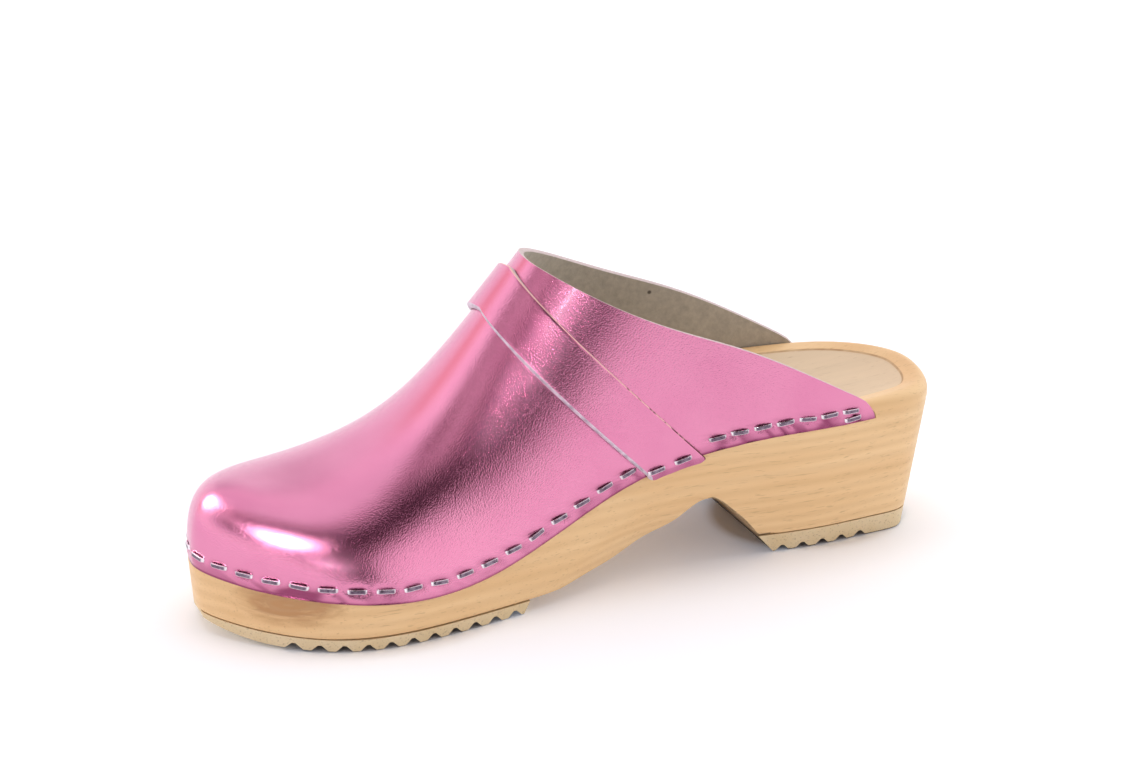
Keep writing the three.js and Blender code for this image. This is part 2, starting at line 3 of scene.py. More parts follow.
import bmesh
import bpy
import numpy as np
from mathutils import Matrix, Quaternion, Vector


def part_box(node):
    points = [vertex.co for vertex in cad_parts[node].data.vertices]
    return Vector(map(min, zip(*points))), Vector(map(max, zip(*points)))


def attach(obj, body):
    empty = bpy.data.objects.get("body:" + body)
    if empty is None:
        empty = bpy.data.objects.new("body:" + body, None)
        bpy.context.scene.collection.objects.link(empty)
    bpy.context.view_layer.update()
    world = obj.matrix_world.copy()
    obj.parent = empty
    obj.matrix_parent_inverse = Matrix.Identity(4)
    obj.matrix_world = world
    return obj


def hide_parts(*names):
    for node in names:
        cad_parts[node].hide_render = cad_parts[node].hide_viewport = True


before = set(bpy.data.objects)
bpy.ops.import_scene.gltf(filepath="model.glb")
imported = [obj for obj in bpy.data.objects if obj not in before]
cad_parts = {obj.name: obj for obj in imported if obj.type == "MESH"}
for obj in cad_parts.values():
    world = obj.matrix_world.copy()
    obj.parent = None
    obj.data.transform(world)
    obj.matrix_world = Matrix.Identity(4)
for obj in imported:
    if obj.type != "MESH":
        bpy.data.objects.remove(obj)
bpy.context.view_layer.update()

# The camera stands on the big-toe side of the shoe, a little ahead of it and above it, level, with a
# long lens.
CAMERA_PLACE = (0.43385, 0.87426, 0.43250)
CAMERA_AIM = (-0.32933, -0.86845, -0.37059)
CAMERA_LENS = 101.83

camera_data = bpy.data.cameras.new("camera")
camera_data.lens = CAMERA_LENS
camera_data.sensor_width = 36
camera_data.clip_end = 50
camera = bpy.data.objects.new("camera", camera_data)
camera.location = CAMERA_PLACE
camera.rotation_euler = Vector(CAMERA_AIM).to_track_quat("-Z", "Y").to_euler()
bpy.context.scene.collection.objects.link(camera)
bpy.context.scene.camera = camera

# The studio: a broad white table in a white room. One side of the room is dark above the camera, which
# is the dark band in the leather; small lit cards stand close by and show only in what shines.
TABLE_REACH = 9.0
TABLE_WHITE = (0.96, 0.955, 0.95)
TABLE_BLUE = (0.7, 0.82, 1.0)
TABLE_GLOW = 0.15
SHADE_EDGE = 0.12
TREAD_SHADES = (((0.170, -0.001), (0.052, 0.053)), ((0.0185, -0.003), (0.034, 0.031)))
ROOM_LIGHT = 1.32
ROOM_WHITE = (1.0, 1.0, 1.0)
ROOM_PATCHES = (
    # where it is seen from the clog (turn from +X and height, degrees), inner and outer reach, colour
    (118, 55, 10, 25, (0.03, 0.008, 0.018)),
    (94, 38, 9, 20, (0.12, 0.08, 0.10)),
    (90, 15, 13, 21, (0.02, 0.005, 0.012)),
    (70, 31, 10, 20, (0.30, 0.22, 0.27)),
    (60, 52, 20, 46, (0.62, 0.55, 0.57)),
    (18, 26, 7, 15, (0.13, 0.09, 0.12)),
    (22, 57, 6, 14, (0.26, 0.20, 0.23)),
    (90, 76, 7, 16, (0.46, 0.42, 0.44)),
    (0, 90, 12, 45, (0.80, 0.80, 0.82)),
    (-95, 30, 12, 48, (0.84, 0.79, 0.83)),
    (-50, 22, 3, 22, (0.90, 0.62, 0.56)),
    (-100, 25, 2, 13, (0.70, 0.64, 0.68)),
)
CARD_WHITE = (1.0, 0.98, 1.0)
CARD_WARM = (1.0, 0.92, 0.86)
SOFT_BOXES = (
    # name, aimed at, turn and height in degrees, distance, width, height, lean, spread, strength,
    # colour, gloss alone
    ("ceiling_panel", (0.1, 0, 0.04), 0, 89, 2.5, 1.6, 1.6, 0, 180, 15.0, CARD_WHITE, False),
    ("strip_card", (0.1, 0, 0.04), 75.5, 20.5, 2.4, 0.04, 0.22, 0, 180, 3.3, CARD_WHITE, True),
    ("toe_card", (0.204, 0.034, 0.034), 51, 46, 0.07, 0.058, 0.018, 38, 44, 0.0042, CARD_WHITE, True),
    ("tip_card", (0.222, 0.0126, 0.042), -41, 41, 0.07, 0.052, 0.052, 0, 44, 0.007, CARD_WARM, True),
)

view = bpy.context.scene.view_settings
view.view_transform = "Standard"
view.look = "None"
view.exposure = 0.0


def give(node, inputs):
    """Set a node's inputs: a number or colour on the socket itself, or another node's result."""
    for label, value in inputs.items():
        if hasattr(value, "id_data"):
            node.id_data.links.new(value, node.inputs[label])
        else:
            node.inputs[label].default_value = value


def made(kind, inputs, out=0, **settings):
    """The result of a new node, in the tree that its inputs come from."""
    tree = next(value.id_data for value in inputs.values() if hasattr(value, "id_data"))
    node = tree.nodes.new(kind)
    for label, value in settings.items():
        setattr(node, label, value)
    give(node, inputs)
    return node.outputs[out]


def new_material(name, roughness, metallic=0.0):
    """A plain shader, with what each finish starts from: the shader and the place on the piece."""
    material = bpy.data.materials.new(name)
    material.use_nodes = True
    nodes = material.node_tree.nodes
    shader = nodes["Principled BSDF"]
    give(shader, {"Roughness": roughness, "Metallic": metallic})
    return material, shader, nodes.new("ShaderNodeTexCoord").outputs["Object"]


def stretched(place, scale, centre=(0, 0, 0)):
    back = [-c * s for c, s in zip(centre, scale)]
    return made("ShaderNodeMapping", {"Vector": place, "Location": back, "Scale": scale})


def reckon(kind, one, two):
    return made("ShaderNodeMath", {0: one, 1: two}, operation=kind)


def between(value, low, high, to_low=0, to_high=1, kind="LINEAR"):
    limits = {"From Min": low, "From Max": high, "To Min": to_low, "To Max": to_high}
    return made("ShaderNodeMapRange", {"Value": value, **limits}, interpolation_type=kind)


def blend_colours(share, one, two, kind="MIX"):
    one, two = ((*colour, 1) if isinstance(colour, tuple) else colour for colour in (one, two))
    inputs = {"Factor": share, "A": one, "B": two}
    return made("ShaderNodeMix", inputs, "Result", data_type="RGBA", blend_type=kind)


table_corners = [(x * TABLE_REACH, y * TABLE_REACH, 0) for x, y in ((-1, -1), (1, -1), (1, 1), (-1, 1))]
table_mesh = bpy.data.meshes.new("table")
table_mesh.from_pydata(table_corners, [], [(0, 1, 2, 3)])
table = bpy.data.objects.new("table", table_mesh)
bpy.context.scene.collection.objects.link(table)
paper, paper_shader, paper_place = new_material("white_paper", 0.9)
give(paper_shader, {"Base Color": (*TABLE_WHITE, 1), "Emission Color": (*TABLE_BLUE, 1)})
# the table glows a little, a painted light, except where the two treads stand on it: there the glow fades out
# as painted shade
paper_glow = TABLE_GLOW
for (along, aside), (long, wide) in TREAD_SHADES:
    spot = stretched(paper_place, (1 / long, 1 / wide, 1), (along, aside, 0))
    shade = made("ShaderNodeTexGradient", {"Vector": spot}, "Fac", gradient_type="SPHERICAL")
    paper_glow = reckon("MULTIPLY", between(shade, 0, SHADE_EDGE, 1, 0), paper_glow)
give(paper_shader, {"Emission Strength": paper_glow})
table_mesh.materials.append(paper)


def seen_towards(turn, height):
    turn, height = math.radians(turn), math.radians(height)
    return Vector((math.cos(turn) * math.cos(height), math.sin(turn) * math.cos(height), math.sin(height)))


for name, aim, turn, height, distance, width, tall, lean, spread, watts, colour, gloss_alone in SOFT_BOXES:
    lamp_data = bpy.data.lights.new(name, "AREA")
    lamp_data.shape = "RECTANGLE"
    lamp_data.size = width
    lamp_data.size_y = tall
    lamp_data.spread = math.radians(spread)
    lamp_data.energy = watts
    lamp_data.color = colour
    lamp = bpy.data.objects.new(name, lamp_data)
    lamp.location = seen_towards(turn, height) * distance + Vector(aim)
    facing = (-seen_towards(turn, height)).to_track_quat("-Z", "Y")
    lamp.rotation_euler = (facing @ Quaternion((0, 0, 1), math.radians(lean))).to_euler()
    lamp.visible_camera = False
    lamp.visible_diffuse = not gloss_alone
    lamp.visible_glossy = gloss_alone
    bpy.context.scene.collection.objects.link(lamp)

room = bpy.data.worlds.new("room")
room.use_nodes = True
room_nodes = room.node_tree.nodes
looking = room_nodes.new("ShaderNodeTexCoord").outputs["Generated"]
room_colour = None
for turn, height, inner, outer, colour in ROOM_PATCHES:
    spot = {0: looking, 1: seen_towards(turn, height)}
    towards = made("ShaderNodeVectorMath", spot, "Value", operation="DOT_PRODUCT")
    limits = [math.cos(math.radians(angle)) for angle in (outer, inner)]
    share = between(towards, *limits, kind="SMOOTHSTEP")
    patch = blend_colours(share, ROOM_WHITE, colour)
    room_colour = patch if room_colour is None else blend_colours(1, room_colour, patch, "MULTIPLY")
give(room_nodes["Background"], {"Color": room_colour, "Strength": ROOM_LIGHT})
bpy.context.scene.world = room

# The sole is one block of pale alder, turned and sanded to the foot: a dished bed with a rounded rim, a
# rabbet round its edge that the leather lies in, a hollowed waist and a block heel. The outline runs
# from the heel's back (0) to the toe (1); widths are shares of the ball, heights of the heel.
SOLE_LENGTH = 245
BALL_WIDTH = 92.7
HEEL_HEIGHT = 51.3
HEEL_TREAD = 6.9
FRONT_TREAD = 4.3
TOE_SPRING = 2.7
RIM_ROUND = 4
BED_DISH = 2.5
BED_LINE = 8.0
BED_STEP = 0.28
RABBET = 2.75
FIT_GAP = 0.3
OUTLINE = (
    (0, 0.0, 0.0), (0.03, 0.251, 0.183), (0.1, 0.316, 0.309), (0.2, 0.338, 0.368), (0.3, 0.32, 0.41),
    (0.4, 0.314, 0.462), (0.5, 0.351, 0.502), (0.6, 0.408, 0.529), (0.7, 0.468, 0.528),
    (0.8, 0.494, 0.476), (0.9, 0.41, 0.335), (0.97, 0.255, 0.138), (1, 0.103, -0.103),
)
SIDE = (
    # at, ledge, rim, draw
    (0, 0.894, 1, 0.067), (0.08, 0.874, 0.985, 0.094), (0.15, 0.864, 0.968, 0.097),
    (0.25, 0.849, 0.948, 0.096), (0.35, 0.787, 0.905, 0.075), (0.45, 0.68, 0.795, 0.04),
    (0.55, 0.493, 0.62, 0.019), (0.65, 0.326, 0.455, 0.0155), (0.75, 0.281, 0.408, 0.0155),
    (0.85, 0.322, 0.447, 0.0155), (0.95, 0.376, 0.5, 0.017), (1, 0.412, 0.535, 0.018),
)
ARCH = (
    (0.24, 0), (0.26, 0.107), (0.28, 0.23), (0.305, 0.355), (0.325, 0.44), (0.335, 0.462),
    (0.345, 0.452), (0.371, 0.338), (0.412, 0.24), (0.455, 0.155), (0.499, 0.117), (0.547, 0.088),
)
WAIST = (
    (0.325, 0.45, 0), (0.333, 0.463, 0.003), (0.353, 0.494, 0.022), (0.387, 0.512, 0.05),
    (0.412, 0.521, 0.06), (0.436, 0.504, 0.06), (0.462, 0.444, 0.054), (0.507, 0.32, 0.033),
    (0.542, 0.216, 0.014), (0.581, 0.103, 0.002), (0.6, 0.085, 0),
)
OUTER_WAIST = 0.55
SPRING_START = 0.812 * SOLE_LENGTH
FAN_START = 0.838 * SOLE_LENGTH
FAN_RUN = 0.089 * SOLE_LENGTH
HEEL_FAN_START = 0.16 * SOLE_LENGTH
COLLAR_TIP = 0.113 * SOLE_LENGTH
TIP_ROUND = 5
TIP_HEIGHT = 4.5
BREAST_FOOT = 0.24 * SOLE_LENGTH
ARCH_PEAK = 0.335 * SOLE_LENGTH
SOLE_COLUMNS = 130
ALDER = (0.80, 0.505, 0.235)
ALDER_LIGHT = (0.90, 0.625, 0.33)
ALDER_DARK = (0.58, 0.32, 0.125)
BED_ALDER = (0.73, 0.56, 0.37)
END_GRAIN = (0.40, 0.27, 0.15)
KNOT_PLACE = (0.206, 0.037, 0.0155)

heel_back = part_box("wood_sole")[0][0]


def smooth_curve(places, values):
    """A natural cubic through a table, held level past its ends."""
    x, y = np.array(places, float), np.array(values, float)
    h = np.diff(x)
    weights, pull = np.eye(len(x)), np.zeros(len(x))
    for i in range(1, len(x) - 1):
        weights[i, i - 1 : i + 2] = h[i - 1], 2 * (h[i - 1] + h[i]), h[i]
        pull[i] = 6 * ((y[i + 1] - y[i]) / h[i] - (y[i] - y[i - 1]) / h[i - 1])
    bend = np.linalg.solve(weights, pull)

    def at(place):
        p = np.clip(place, x[0], x[-1])
        i = np.clip(np.searchsorted(x, p), 1, len(x) - 1)
        span = x[i] - x[i - 1]
        b = (p - x[i - 1]) / span
        a = 1 - b
        curve = ((a**3 - a) * bend[i - 1] + (b**3 - b) * bend[i]) * span**2 / 6
        return a * y[i - 1] + b * y[i] + curve

    return at


def column_of(table, column, size):
    return smooth_curve([row[0] * SOLE_LENGTH for row in table], [row[column] * size for row in table])


ledge_at = column_of(SIDE, 1, HEEL_HEIGHT)
rim_at = column_of(SIDE, 2, HEEL_HEIGHT)
draw_at = column_of(SIDE, 3, BALL_WIDTH)
arch_at = column_of(ARCH, 1, HEEL_HEIGHT)
waist_top = column_of(WAIST, 1, HEEL_HEIGHT)
waist_cut = column_of(WAIST, 2, BALL_WIDTH)
outline_turns = [math.acos(1 - 2 * row[0]) for row in OUTLINE]
inner_at = smooth_curve(outline_turns, [row[1] * BALL_WIDTH for row in OUTLINE])
outer_at = smooth_curve(outline_turns, [row[2] * BALL_WIDTH for row in OUTLINE])
NEAR = 1e-3


def length_at(turn):
    return SOLE_LENGTH * (1 - np.cos(turn)) / 2


def turn_at(length):
    return np.arccos(np.clip(1 - 2 * np.asarray(length, float) / SOLE_LENGTH, -1, 1))


def edge_at(side, turn):
    return np.where(np.asarray(side) > 0, inner_at(turn), -outer_at(turn))


def edge_point(side, turn, inset, height):
    """A point of the sole's outline, moved inwards."""
    ahead, back = np.minimum(turn + NEAR, math.pi), np.maximum(turn - NEAR, 0)
    along_x = length_at(ahead) - length_at(back)
    along_y = edge_at(side, ahead) - edge_at(side, back)
    run = np.hypot(along_x, along_y)
    x = length_at(turn) + side * along_y * inset / run
    y = edge_at(side, turn) - side * along_x * inset / run
    return np.stack(np.broadcast_arrays(x, y, height), -1).astype(float)


def ridge_foot(length):
    past = np.maximum(length - FAN_START, 0)
    return np.minimum(length, FAN_START) + FAN_RUN * (1 - np.exp(-past / FAN_RUN))


def bed_middle(length):
    past = np.maximum(HEEL_FAN_START - length, 0)
    foot = ridge_foot(np.maximum(length, HEEL_FAN_START)) - FAN_RUN * (1 - np.exp(-past / FAN_RUN))
    turn = turn_at(foot)
    return np.stack([foot, (inner_at(turn) - outer_at(turn)) / 2, np.zeros_like(foot)], -1)


def spring_at(length):
    past = np.maximum(length - SPRING_START, 0) / (SOLE_LENGTH - SPRING_START)
    return TOE_SPRING * past**2


def wood_under(length):
    """Underside of the wood: level on the heel's tread, up the breast, along the arch, then the toe."""
    front = np.maximum(arch_at(length), FRONT_TREAD + spring_at(length))
    rear = np.maximum(arch_at(length), HEEL_TREAD)
    return np.where(length < ARCH_PEAK, rear, front)


def placed(points):
    """Millimetres from the heel's back to metres in the clog's frame."""
    return np.asarray(points) * 0.001 + np.array([heel_back, 0, 0])


def new_piece(name, points, faces, materials, material_of=None, sharp=35, marks=None):
    """A mesh piece from points in millimetres, its doubles merged and its faces turned outwards."""
    mesh = bpy.data.meshes.new(name)
    mesh.from_pydata(placed(points).tolist(), [], faces)
    for material in materials:
        mesh.materials.append(material)
    if material_of is not None:
        mesh.polygons.foreach_set("material_index", material_of)
    for label, values in (marks or {}).items():
        mesh.attributes.new(label, "FLOAT", "POINT").data.foreach_set("value", values)
    sheet = bmesh.new()
    sheet.from_mesh(mesh)
    bmesh.ops.remove_doubles(sheet, verts=sheet.verts, dist=2e-6)
    bmesh.ops.dissolve_degenerate(sheet, dist=1e-7, edges=sheet.edges)
    bmesh.ops.recalc_face_normals(sheet, faces=sheet.faces)
    sheet.to_mesh(mesh)
    sheet.free()
    mesh.polygons.foreach_set("use_smooth", [True] * len(mesh.polygons))
    mesh.set_sharp_from_angle(angle=math.radians(sharp))
    piece = bpy.data.objects.new(name, mesh)
    bpy.context.scene.collection.objects.link(piece)
    return piece


def strip_faces(rows, columns, start=0, closed=False):
    """Four-sided faces between neighbouring rows of a grid of points."""
    faces = []
    for r in range(rows - 1):
        for c in range(columns if closed else columns - 1):
            d = (c + 1) % columns
            low, high = start + r * columns, start + (r + 1) * columns
            faces.append((low + c, low + d, high + d, high + c))
    return faces


def noise(place, scale, detail=2.0, roughness=0.5, distortion=0.0):
    """Noise of one scale, or drawn out along the axes where the scale is three numbers."""
    if isinstance(scale, tuple):
        place, scale = stretched(place, scale), 1.0
    inputs = {"Scale": scale, "Detail": detail, "Roughness": roughness, "Distortion": distortion}
    return made("ShaderNodeTexNoise", {"Vector": place, **inputs}, "Fac")


def ramp(value, stops):
    """Colours, or greys given as one number, at places from 0 to 1."""
    colours = made("ShaderNodeValToRGB", {"Fac": value}, "Color")
    bands = colours.node.color_ramp.elements
    bands.remove(bands[1])
    for k, (at, colour) in enumerate(stops):
        band = bands.new(at) if k else bands[0]
        band.position = at
        band.color = (*colour, 1) if isinstance(colour, tuple) else (colour, colour, colour, 1)
    return colours


def toned(colour, share):
    return tuple(c * share for c in colour)


def bumped(shader, height, distance, strength=1.0, under=None):
    inputs = {"Height": height, "Distance": distance, "Strength": strength}
    if under is not None:
        inputs["Normal"] = under
    normal = made("ShaderNodeBump", inputs, "Normal")
    give(shader, {"Normal": normal})
    return normal


# Alder's finish: long growth figure from heel to toe, short fine pores, a brown swirl by the toe and
# drier, rougher end grain on the heel's breast.
alder, wood_shader, wood_place = new_material("alder", 0.46)
figure = noise(wood_place, (7, 60, 95), 3.0, 0.55, 0.6)
rings = made("ShaderNodeTexWave", {
    "Scale": 26, "Distortion": 7.0, "Detail": 2.5, "Detail Scale": 0.5,
    "Vector": stretched(wood_place, (0.35, 1.6, 3.2)),
}, "Fac", wave_type="BANDS", bands_direction="Z")
pores = noise(wood_place, (130, 1900, 1900), 2.0, 0.6)
wood_colour = ramp(figure, ((0.28, ALDER), (0.5, (0.85, 0.565, 0.28)), (0.72, ALDER_LIGHT)))
wood_colour = blend_colours(reckon("MULTIPLY", rings, 0.20), wood_colour, ALDER_DARK, "MIX")
pore_marks = ramp(pores, ((0.30, 0.38), (0.40, 0.0)))
wood_colour = blend_colours(pore_marks, wood_colour, (0.42, 0.235, 0.10))
knot_reach = made("ShaderNodeTexGradient", {
    "Vector": stretched(wood_place, (44, 36, 105), KNOT_PLACE),
}, "Fac", gradient_type="SPHERICAL")
knot_swirl = noise(wood_place, (55, 40, 190), 3.0, 0.6, 2.2)
knot_marks = ramp(reckon("MULTIPLY", knot_reach, knot_swirl), ((0.10, 0.0), (0.34, 0.85)))
wood_colour = blend_colours(knot_marks, wood_colour, (0.46, 0.23, 0.085))
knot_rings = made("ShaderNodeTexWave", {
    "Scale": 1.0, "Distortion": 5.0, "Detail": 2.0,
    "Vector": stretched(wood_place, (42, 32, 150), KNOT_PLACE),
}, "Fac", wave_type="RINGS", rings_direction="SPHERICAL")
ring_marks = reckon("MULTIPLY", knot_reach, knot_rings)
ring_marks = ramp(ring_marks, ((0.15, 0.0), (0.6, 0.5)))
wood_colour = blend_colours(ring_marks, wood_colour, (0.50, 0.24, 0.08))
give(wood_shader, {"Base Color": wood_colour, "Roughness": ramp(figure, ((0.3, 0.52), (0.7, 0.40)))})
grain_relief = noise(wood_place, (160, 2400, 2400), 3.0, 0.6)
bumped(wood_shader, grain_relief, 0.00008, 0.5)
give(wood_shader, {"Coat Weight": 0.12, "Coat Roughness": 0.35})

bed_alder, bed_shader, bed_place = new_material("bed_alder", 0.62)
bed_figure = noise(bed_place, (8, 90, 60), 3.0, 0.55, 0.5)
bed_pores = noise(bed_place, (130, 2100, 1500), 2.0, 0.6)
bed_colour = ramp(bed_figure, ((0.3, toned(BED_ALDER, 0.93)), (0.7, toned(BED_ALDER, 1.06))))
bed_marks = ramp(bed_pores, ((0.28, 0.45), (0.38, 0.0)))
bed_colour = blend_colours(bed_marks, bed_colour, (0.40, 0.25, 0.13))
give(bed_shader, {"Base Color": bed_colour})
bumped(bed_shader, bed_pores, 0.00008, 0.4)

bed_line, line_shader, line_place = new_material("bed_line", 0.7)
line_wear = noise(line_place, 240, 2.0, 0.5)
line_colour = ramp(line_wear, ((0.35, (0.50, 0.30, 0.15)), (0.7, (0.66, 0.45, 0.25))))
give(line_shader, {"Base Color": line_colour})

end_grain, end_shader, end_place = new_material("end_grain", 0.85)
end_saw = noise(end_place, (900, 260, 900), 4.0, 0.7)
end_colour = ramp(end_saw, ((0.3, toned(END_GRAIN, 0.6)), (0.7, toned(END_GRAIN, 1.35))))
give(end_shader, {"Base Color": end_colour})
bumped(end_shader, end_saw, 0.0005, 0.8)

tip_start = COLLAR_TIP - FIT_GAP
tip_run = TIP_ROUND + FIT_GAP
stations = np.unique(np.concatenate([
    length_at(np.linspace(0, math.pi, SOLE_COLUMNS + 1)),
    np.linspace(62.5, 92, 44),
    tip_start + tip_run * (1 - np.cos(np.linspace(0, math.pi / 2, 9))),
]).round(4))
turns = turn_at(stations)


def rim_height(inset, length):
    """Height of the rim's round at a distance in from its side."""
    share = np.clip(inset / RIM_ROUND, 0, 1)
    return rim_at(length) - RIM_ROUND * (1 - np.sqrt(1 - (1 - share) ** 2))


def wood_rows(side):
    length = stations
    ledge = ledge_at(length)
    draw = lambda height: draw_at(length) * np.maximum(1 - height / ledge, 0)
    row = lambda inset, height: edge_point(side, turns, inset, height)
    share = 1 if side > 0 else OUTER_WAIST
    under_edge = wood_under(length)
    in_waist = (length > WAIST[0][0] * SOLE_LENGTH) & (length < WAIST[-1][0] * SOLE_LENGTH)
    breast = np.exp(-np.clip(np.abs(length - 71) - 11, 0, None))
    cut = np.where(in_waist, waist_cut(length) * share, 0)
    top = np.where(in_waist, under_edge + np.maximum(waist_top(length) - under_edge, 0) * share, 0)
    facet = np.maximum(cut, 0.25 + 0.55 * breast)
    facet_top = np.maximum(top, under_edge + 0.25 + 0.55 * breast)
    facet_top = np.minimum(facet_top, ledge - 1.5)
    edge = row(draw(under_edge) + facet, under_edge)
    rows = [edge]
    for share_up in (0.0, 0.04, 0.35, 0.65, 0.96):
        height = facet_top + (ledge - 0.45 - facet_top) * share_up
        rows.append(row(draw(height), height))
    rows.append(row(0.42, ledge - 0.05))
    into = np.clip((length - tip_start) / tip_run, 0, 1)
    wall_top = ledge + np.where(into < 1, TIP_HEIGHT * 1.06 * np.sqrt(1 - (1 - into) ** 2), 3 * RIM_ROUND)
    depth = np.minimum(RABBET, 3 * (wall_top - ledge)) * (into > 0)
    rows.append(row(depth, ledge))
    wall_top = np.minimum(wall_top, rim_height(depth, length))
    rows.append(row(depth, wall_top))
    drop = np.clip((rim_at(length) - wall_top) / RIM_ROUND, 0, 1)
    shelf = np.where(drop < 1, RIM_ROUND * (1 - np.sqrt(np.clip(1 - (1 - drop) ** 2, 0, 1))), 0)
    shelf = np.where(into > 0, np.minimum(shelf, depth), 0)
    rows.append(row(shelf, np.where(into > 0, wall_top, ledge)))
    rows.append(row(shelf, np.maximum(rim_height(shelf, length), np.where(into > 0, wall_top, ledge))))
    first = np.arccos(np.clip(1 - shelf / RIM_ROUND, 0, 1))
    for share_round in (0.12, 0.25, 0.4, 0.55, 0.7, 0.85):
        angle = first + (math.pi / 2 - first) * share_round
        rows.append(row(RIM_ROUND * (1 - np.cos(angle)), rim_at(length) - RIM_ROUND * (1 - np.sin(angle))))
    middle = bed_middle(length)
    bed_edge = row(RIM_ROUND, 0)
    reach_in = np.linalg.norm((bed_edge - middle)[:, :2], axis=1)

    def bed(point, step):
        spread = np.linalg.norm((point - middle)[:, :2], axis=1) / reach_in
        point[:, 2] = rim_at(point[:, 0]) - BED_DISH * (1 - np.minimum(spread, 1) ** 2) - step
        return point

    for inset in (RIM_ROUND, 5.4, 6.8, BED_LINE - 0.3):
        rows.append(bed(row(inset, 0), 0))
    for inset in (BED_LINE + 0.25, BED_LINE + 1.2):
        rows.append(bed(row(inset, 0), BED_STEP))
    inner_edge = rows[-1].copy()
    for share_in in (0.15, 0.32, 0.5, 0.68, 0.84, 1.0):
        rows.append(bed(inner_edge + (middle - inner_edge) * share_in, BED_STEP))
    return rows


inner_rows, outer_rows = wood_rows(1), wood_rows(-1)
floor_x = (inner_rows[0][:, 0] + outer_rows[0][:, 0]) / 2
floor_y = (inner_rows[0][:, 1] + outer_rows[0][:, 1]) / 2
floor_line = np.stack([floor_x, floor_y, wood_under(floor_x)], -1)
wood_points, wood_faces, wood_kinds = [], [], []
breast_column = (stations[:-1] > 58) & (stations[:-1] < 83)
for rows in (inner_rows, outer_rows):
    half_way = (rows[0] + floor_line) / 2
    half_way[:, 2] = wood_under(half_way[:, 0])
    grid = [floor_line, half_way, *rows]
    wood_faces += strip_faces(len(grid), len(stations), len(wood_points))
    for strip in range(len(grid) - 1):
        # the underside and its sawn breast, the wall and rim, the line round the bed, the bed
        kind = 2 if strip == 22 else 1 if strip > 22 else 0
        wood_kinds += [3 if strip < 3 and at_breast else kind for at_breast in breast_column]
    wood_points += np.concatenate(grid).tolist()
wood_finishes = [alder, bed_alder, bed_line, end_grain]
wood_sole = new_piece("carved_sole", wood_points, wood_faces, wood_finishes, wood_kinds, sharp=38)
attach(wood_sole, "root")
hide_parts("wood_sole")

# Two slabs of tan rubber are glued under the heel and the forefoot. Each is moulded flat with grooves
# cut across it, whose floors are narrow and whose walls slope; its side is sanded flush with the wood.
HEEL_BEVEL = 3
TREAD_PITCH = 6.98
GROOVE_WIDTH = 5.2
GROOVE_DEPTH = 2.1
GROOVE_TOP = 1.0
FRONT_GROOVES = 11
HEEL_GROOVES = 5
FRONT_TREAD_REAR = 0.604 * SOLE_LENGTH
FRONT_TREAD_TOE = 0.997 * SOLE_LENGTH
TOE_TAPER_START = 0.93 * SOLE_LENGTH
TOE_TAPER = 0.5
TREAD_ARRIS = 0.25
UNDERSIDE_SHADE_SLOPE = -0.6
UNDERSIDE_SHADE_END = 0.205
RUBBER_TAN = (0.73, 0.56, 0.32)
RUBBER_LIGHT = (0.78, 0.63, 0.41)

rubber, rubber_shader, rubber_place = new_material("tan_rubber", 0.72)
rubber_cloud = noise(rubber_place, 70, 3.0, 0.6)
rubber_speck = noise(rubber_place, 1500, 2.0, 0.5)
rubber_colour = ramp(rubber_cloud, ((0.3, RUBBER_TAN), (0.7, RUBBER_LIGHT)))
speck_marks = ramp(rubber_speck, ((0.30, 0.5), (0.42, 0.0)))
rubber_colour = blend_colours(speck_marks, rubber_colour, (0.36, 0.25, 0.14))
give(rubber_shader, {"Base Color": rubber_colour})
bumped(rubber_shader, rubber_speck, 0.00012, 0.45)

# painted shade: near-black rubber for the faces that look down into the dark under the treads
rubber_underside_shade, underside_shade_shader, underside_shade_place = new_material("rubber_underside_shade", 0.85)
underside_mottle = noise(underside_shade_place, 300, 3.0, 0.6)
underside_shade_colour = ramp(underside_mottle, ((0.3, (0.05, 0.034, 0.022)), (0.7, (0.14, 0.10, 0.062))))
give(underside_shade_shader, {"Base Color": underside_shade_colour})


def heel_breast(height):
    """How far along the sole the heel's breast stands at a height."""
    lengths = np.linspace(BREAST_FOOT, ARCH_PEAK, 200)
    return float(np.interp(height, arch_at(lengths), lengths))


def tread_block(name, stops, under, over, lean_first, lean_last):
    """A tread without its grooves, from cross-sections at stops along the sole."""
    points, faces = [], []
    heights = (0.0, 0.06, 0.5, 1.0)
    for k, stop in enumerate(stops):
        lean = lean_first if k == 0 else lean_last if k == len(stops) - 1 else 0
        loop = []
        for side in (1, -1):
            half = []
            for share_up in heights:
                turn = turn_at(stop + lean * share_up)
                low, high = under(stop), over(stop)
                height = low + (high - low) * share_up
                inset = float(draw_at(stop) * max(1 - height / ledge_at(stop), 0))
                if share_up == 0:
                    inset += TREAD_ARRIS
                half.append(edge_point(side, turn, inset, height))
            loop += half if side > 0 else half[::-1]
        points += loop
    faces += strip_faces(len(stops), 2 * len(heights), closed=True)
    last = (len(stops) - 1) * 2 * len(heights)
    faces.append(tuple(range(2 * len(heights))))
    faces.append(tuple(range(last, last + 2 * len(heights))))
    return new_piece(name, np.array(points), faces, [rubber], sharp=30)


def tree_inputs(name, inputs):
    """A new geometry tree with a geometry in and out, and its other inputs by name."""
    tree = bpy.data.node_groups.new(name, "GeometryNodeTree")
    tree.interface.new_socket("Geometry", in_out="INPUT", socket_type="NodeSocketGeometry")
    tree.interface.new_socket("Geometry", in_out="OUTPUT", socket_type="NodeSocketGeometry")
    kinds = {int: "NodeSocketInt", float: "NodeSocketFloat", tuple: "NodeSocketVector"}
    for label, value in inputs.items():
        kind = kinds.get(type(value), "NodeSocketMaterial")
        tree.interface.new_socket(label, in_out="INPUT", socket_type=kind)
    return tree, tree.nodes.new("NodeGroupInput").outputs, tree.nodes.new("NodeGroupOutput").inputs


